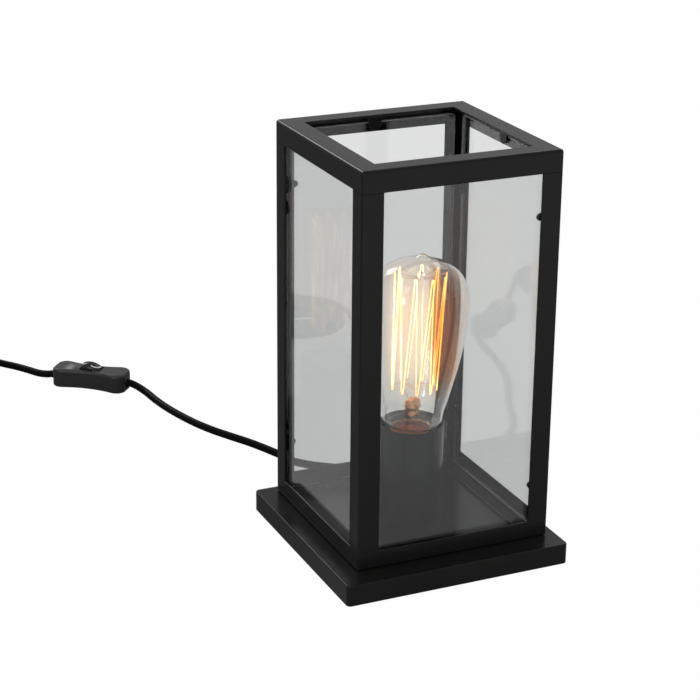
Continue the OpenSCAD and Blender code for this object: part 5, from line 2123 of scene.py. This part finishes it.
    def plug(self, at: Vector) -> list[Object]:
        """Flat two-pin plug: waisted grip, ribbed tail and half-sleeved pins.

        Args:
            at: where the cord goes into its tail.

        Returns:
            Its pieces.
        """
        turn = Matrix.Translation(at) @ Matrix.Rotation(math.pi / 2, 4, "X")
        front = self.plug_l
        pin = [(0, front), (1.9, front), (1.9, front + 8.9), (2.0, front + 9.0), (2.0, front + 17.0),
               (1.85, front + 17.9), (1.4, front + 18.6), (0.7, front + 18.95), (0.0, front + 19.0)]
        sleeve = [(1.92, front - 0.5), (2.02, front - 0.5), (2.02, front + 9.0), (1.92, front + 9.1)]
        pins, sleeves = Form(), Form()
        for x in (-self.pin_out, self.pin_out):
            pins.lathe(pin, (x, 0), 24)
            sleeves.lathe(sleeve, (x, 0), 24, ring=True)
        body = piece("plug_grip", self.plug_body().moved(turn), SHELL, Body.LAMP, ["plug_body"], sharp=50)
        ribs = self.rib_stack("plug_ribs", turn, (2.4, 3.4), (4.1, 4.9), 0.6, "plug_body")
        metal = piece("pins", pins.moved(turn), NICKEL, Body.LAMP, ["plug_pins"], sharp=50)
        cover = piece("pin_sleeves", sleeves.moved(turn), SHELL, Body.LAMP, ["plug_pins"], sharp=50)
        return [body, ribs, metal, cover]

    def tie(self) -> Object:
        """Soft band round the turns of the coil, with rounded edges.

        Returns:
            The piece.
        """
        r, w, gap = self.layout.cord_d / 2, self.tie_w, self.tie_gap
        first = (self.tie_at - self.coil_start) / 360
        outer = self.coil_r - self.coil_step * first + r + gap
        last = self.coil_r - self.coil_step * (first + math.floor(self.coil_turns - first)) - r
        sag, drift = last - math.sqrt(last * last - w ** 2), self.coil_step * w / (2 * math.pi * last)
        inner = last - sag - drift - gap
        low, high = self.coil_low - r - gap, self.coil_low + self.coil_layer + r + gap
        frame = (Matrix.Translation((*self.coil_at, 0))
                 @ Matrix.Rotation(math.radians(self.tie_at), 4, "Z"))
        rows = []
        for y, t in ((-w, 0.5), (0.2 - w, 0.78), (0.6 - w, 0.8), (w - 0.6, 0.8), (w - 0.2, 0.78), (w, 0.5)):
            outline = rounded_box((inner - t, low - t), (outer + t, high + t), 2.8, 5)
            rows.append([Vector((x, y, z)) for x, z in outline])
        for y in (w, -w):
            rows.append([Vector((x, y, z)) for x, z in rounded_box((inner, low), (outer, high), 2.0, 5)])
        return piece("coil_tie", Form().loft(rows, ring=True).moved(frame), SHELL, Body.LAMP, ["cord_tie"],
                     sharp=50)

    def build(self, on_switch: list[Object]) -> None:
        """Makes the cord from the base to the plug.

        Args:
            on_switch: the pieces of the switch.
        """
        self.relief()
        self.run("cord_to_switch", self.lamp_path(), ["cord_lamp"], "fitting", "loose", on_switch)
        path = self.plug_path()
        ends = [*self.plug(path[-1]), self.tie()]
        wound = self.run("cord_to_plug", path, ["cord_supply", "cord_coil", "cord_tail"], "plug", "coiled",
                         ends)
        # The spare length is put away out of the picture, so the panes don't mirror it either.
        for part in (wound, *ends):
            part.visible_glossy = False


# ---- Studio ----


@dataclass(frozen=True)
class Softbox:
    """A square soft lamp.

    Attributes:
        name: its name.
        at: its place in metres.
        size: its side in metres.
        power: its power in watts.
    """

    name: str
    at: Point
    size: float
    power: float

    def build(self, aim: Point) -> None:
        """Puts it in the scene, looking at aim.

        Args:
            aim: the point, in metres.
        """
        data = bpy.data.lights.new(self.name, "AREA")
        data.shape, data.size, data.energy = "SQUARE", self.size, self.power
        obj = bpy.data.objects.new(self.name, data)
        obj.location = self.at
        obj.rotation_euler = (Vector(aim) - Vector(self.at)).to_track_quat("-Z", "Y").to_euler()
        bpy.context.scene.collection.objects.link(obj)


@dataclass
class Studio:
    """Pale floor, soft lamps, white surroundings and the camera of the photograph.

    Attributes:
        eye: the camera's place.
        yaw: where it looks, in degrees.
        pitch: how far up it looks, in degrees.
        roll: how far it is tilted, in degrees.
        focal: its focal length in pixels of the picture.
        picture: the picture's side in pixels.
        sensor: width of its sensor in millimetres.
        bounces: how often light may turn; a ray through two panes and the bulb needs most of them.
        floor_half: half the floor's side.
        floor_tint: its colour.
        sheen_reach: where its mirror image is brightest and dimmest, behind the lamp, in metres.
        sheen: how bright it is there.
        aim: what the lamps look at, in metres.
        lamps: the lamps.
    """

    eye: Point = (-529.6, -1077.1, 585.8)
    yaw: float = 24.339
    pitch: float = -20.761
    roll: float = 0.561
    focal: float = 2018.9
    picture: int = 700
    sensor: float = 36.0
    bounces: int = 28
    floor_half: float = 4e4
    floor_tint: Colour = (0.86, 0.86, 0.86)
    sheen_reach: Flat = (-0.6, 0.05)
    sheen: Flat = (0.85, 0.13)
    aim: Point = (0, 0, 0.12)
    lamps: tuple[Softbox, ...] = (
        Softbox("key", (-1.6, -0.9, 1.9), 0.9, 8.0),
        Softbox("rim", (1.2, 1.3, 1.4), 0.7, 2.5),
        Softbox("back", (-0.38, 1.86, 1.36), 0.6, 8.0),
        Softbox("low", (-1.9, -0.93, 0.5), 0.35, 4.0))

    def camera(self) -> None:
        """The camera at the photograph's place, with its lens for a square picture."""
        y, p, r = (math.radians(v) for v in (self.yaw, self.pitch, self.roll))
        ahead = Vector((math.sin(y) * math.cos(p), math.cos(y) * math.cos(p), math.sin(p)))
        right = Vector((math.cos(y), -math.sin(y), 0))
        up = right.cross(ahead)
        across = right * math.cos(r) + up * math.sin(r)
        upright = up * math.cos(r) - right * math.sin(r)
        data = bpy.data.cameras.new("view")
        data.sensor_width = self.sensor
        data.lens = self.focal / self.picture * self.sensor
        data.clip_start, data.clip_end = 0.05, 200.0
        cam = bpy.data.objects.new("view", data)
        axes = Matrix((across, upright, -ahead)).transposed().to_4x4()
        cam.matrix_world = Matrix.Translation(Vector(self.eye) * MM) @ axes
        bpy.context.scene.collection.objects.link(cam)
        bpy.context.scene.camera = cam

    def seen(self, r: Recipe, camera: float, gloss: Wire | float, glass: float, matt: float) -> Wire:
        """Brightness of the surroundings, by the kind of ray that finds them.

        Args:
            r: the tree.
            camera: for rays straight from the camera.
            gloss: for rays off a glossy face.
            glass: for rays through glass.
            matt: for rays off a matt surface, which light the lamp.

        Returns:
            The brightness.
        """
        outs = r.node("LightPath").socket.node.outputs
        kind = {name: Wire(r.tree, outs[f"Is {name} Ray"]) for name in ("Camera", "Glossy", "Transmission")}
        shown = 1.0 - Wire(r.tree, outs["Diffuse Depth"]).above(0.5)
        bright = kind["Camera"] * camera + kind["Glossy"] * gloss
        bright = bright.largest(kind["Transmission"] * glass) * shown
        return bright.largest(matt)

    def floor(self) -> None:
        """A wide pale floor that shows white and keeps a soft trace of the lamp's shadow."""
        half = self.floor_half
        square = [Vector((x, y, 0)) for x, y in ((-half, -half), (half, -half), (half, half), (-half, half))]
        obj = rough_object("floor", Form(square, [[0, 1, 2, 3]]))
        made = bpy.data.materials.new("pale_floor")
        made.use_nodes = True
        r = Recipe(made.node_tree)
        matt = r.node("BsdfDiffuse", inputs={"Color": self.floor_tint})
        behind = r.node("SeparateXYZ", inputs={0: r.node("TexCoord", out="Object")}, out=1)
        gloss = r.node("MapRange", inputs={
            "Value": behind, "From Min": self.sheen_reach[0], "From Max": self.sheen_reach[1],
            "To Min": self.sheen[0], "To Max": self.sheen[1]})
        shown = self.seen(r, camera=1.0, gloss=gloss, glass=1.0, matt=0.0)
        white = r.node("Emission", inputs={"Color": WHITE, "Strength": shown})
        share = self.seen(r, camera=0.985, gloss=0.96, glass=0.96, matt=0.0)
        r.close(r.node("MixShader", inputs={0: share, 1: matt, 2: white}))
        obj.data.materials.append(made)

    def world(self) -> None:
        """White surroundings, dimmer as a source of light for matt surfaces."""
        world = bpy.data.worlds.new("surroundings")
        world.use_nodes = True
        bpy.context.scene.world = world
        r = Recipe(world.node_tree)
        shown = self.seen(r, camera=1.0, gloss=0.53, glass=1.0, matt=0.5)
        r.close(r.node("Background", inputs={"Color": WHITE, "Strength": shown}), "OutputWorld")

    def build(self) -> None:
        """Sets up everything round the lamp."""
        self.camera()
        self.world()
        self.floor()
        for lamp in self.lamps:
            lamp.build(self.aim)
        scene = bpy.context.scene
        scene.view_settings.view_transform = "Standard"
        scene.cycles.max_bounces = scene.cycles.transmission_bounces = self.bounces


def corners(box: tuple[Vector, Vector]) -> list[list[float]]:
    """A box as plain lists of numbers."""
    return [list(box[0]), list(box[1])]


def main() -> None:
    """Builds the dressed lamp in its studio."""
    logging.basicConfig(level=logging.INFO, format="%(name)s: %(message)s")
    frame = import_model()
    nodes = frame["nodes"]
    layout = Layout()
    Studio().build()
    switch = LineSwitch(layout)
    Cord(layout, switch).build(switch.build(nodes))
    Base(layout).build(nodes)
    Lantern(layout).build()
    Lampholder(layout).build(nodes)
    FilamentBulb(layout).build()


if __name__ == "__main__":
    main()
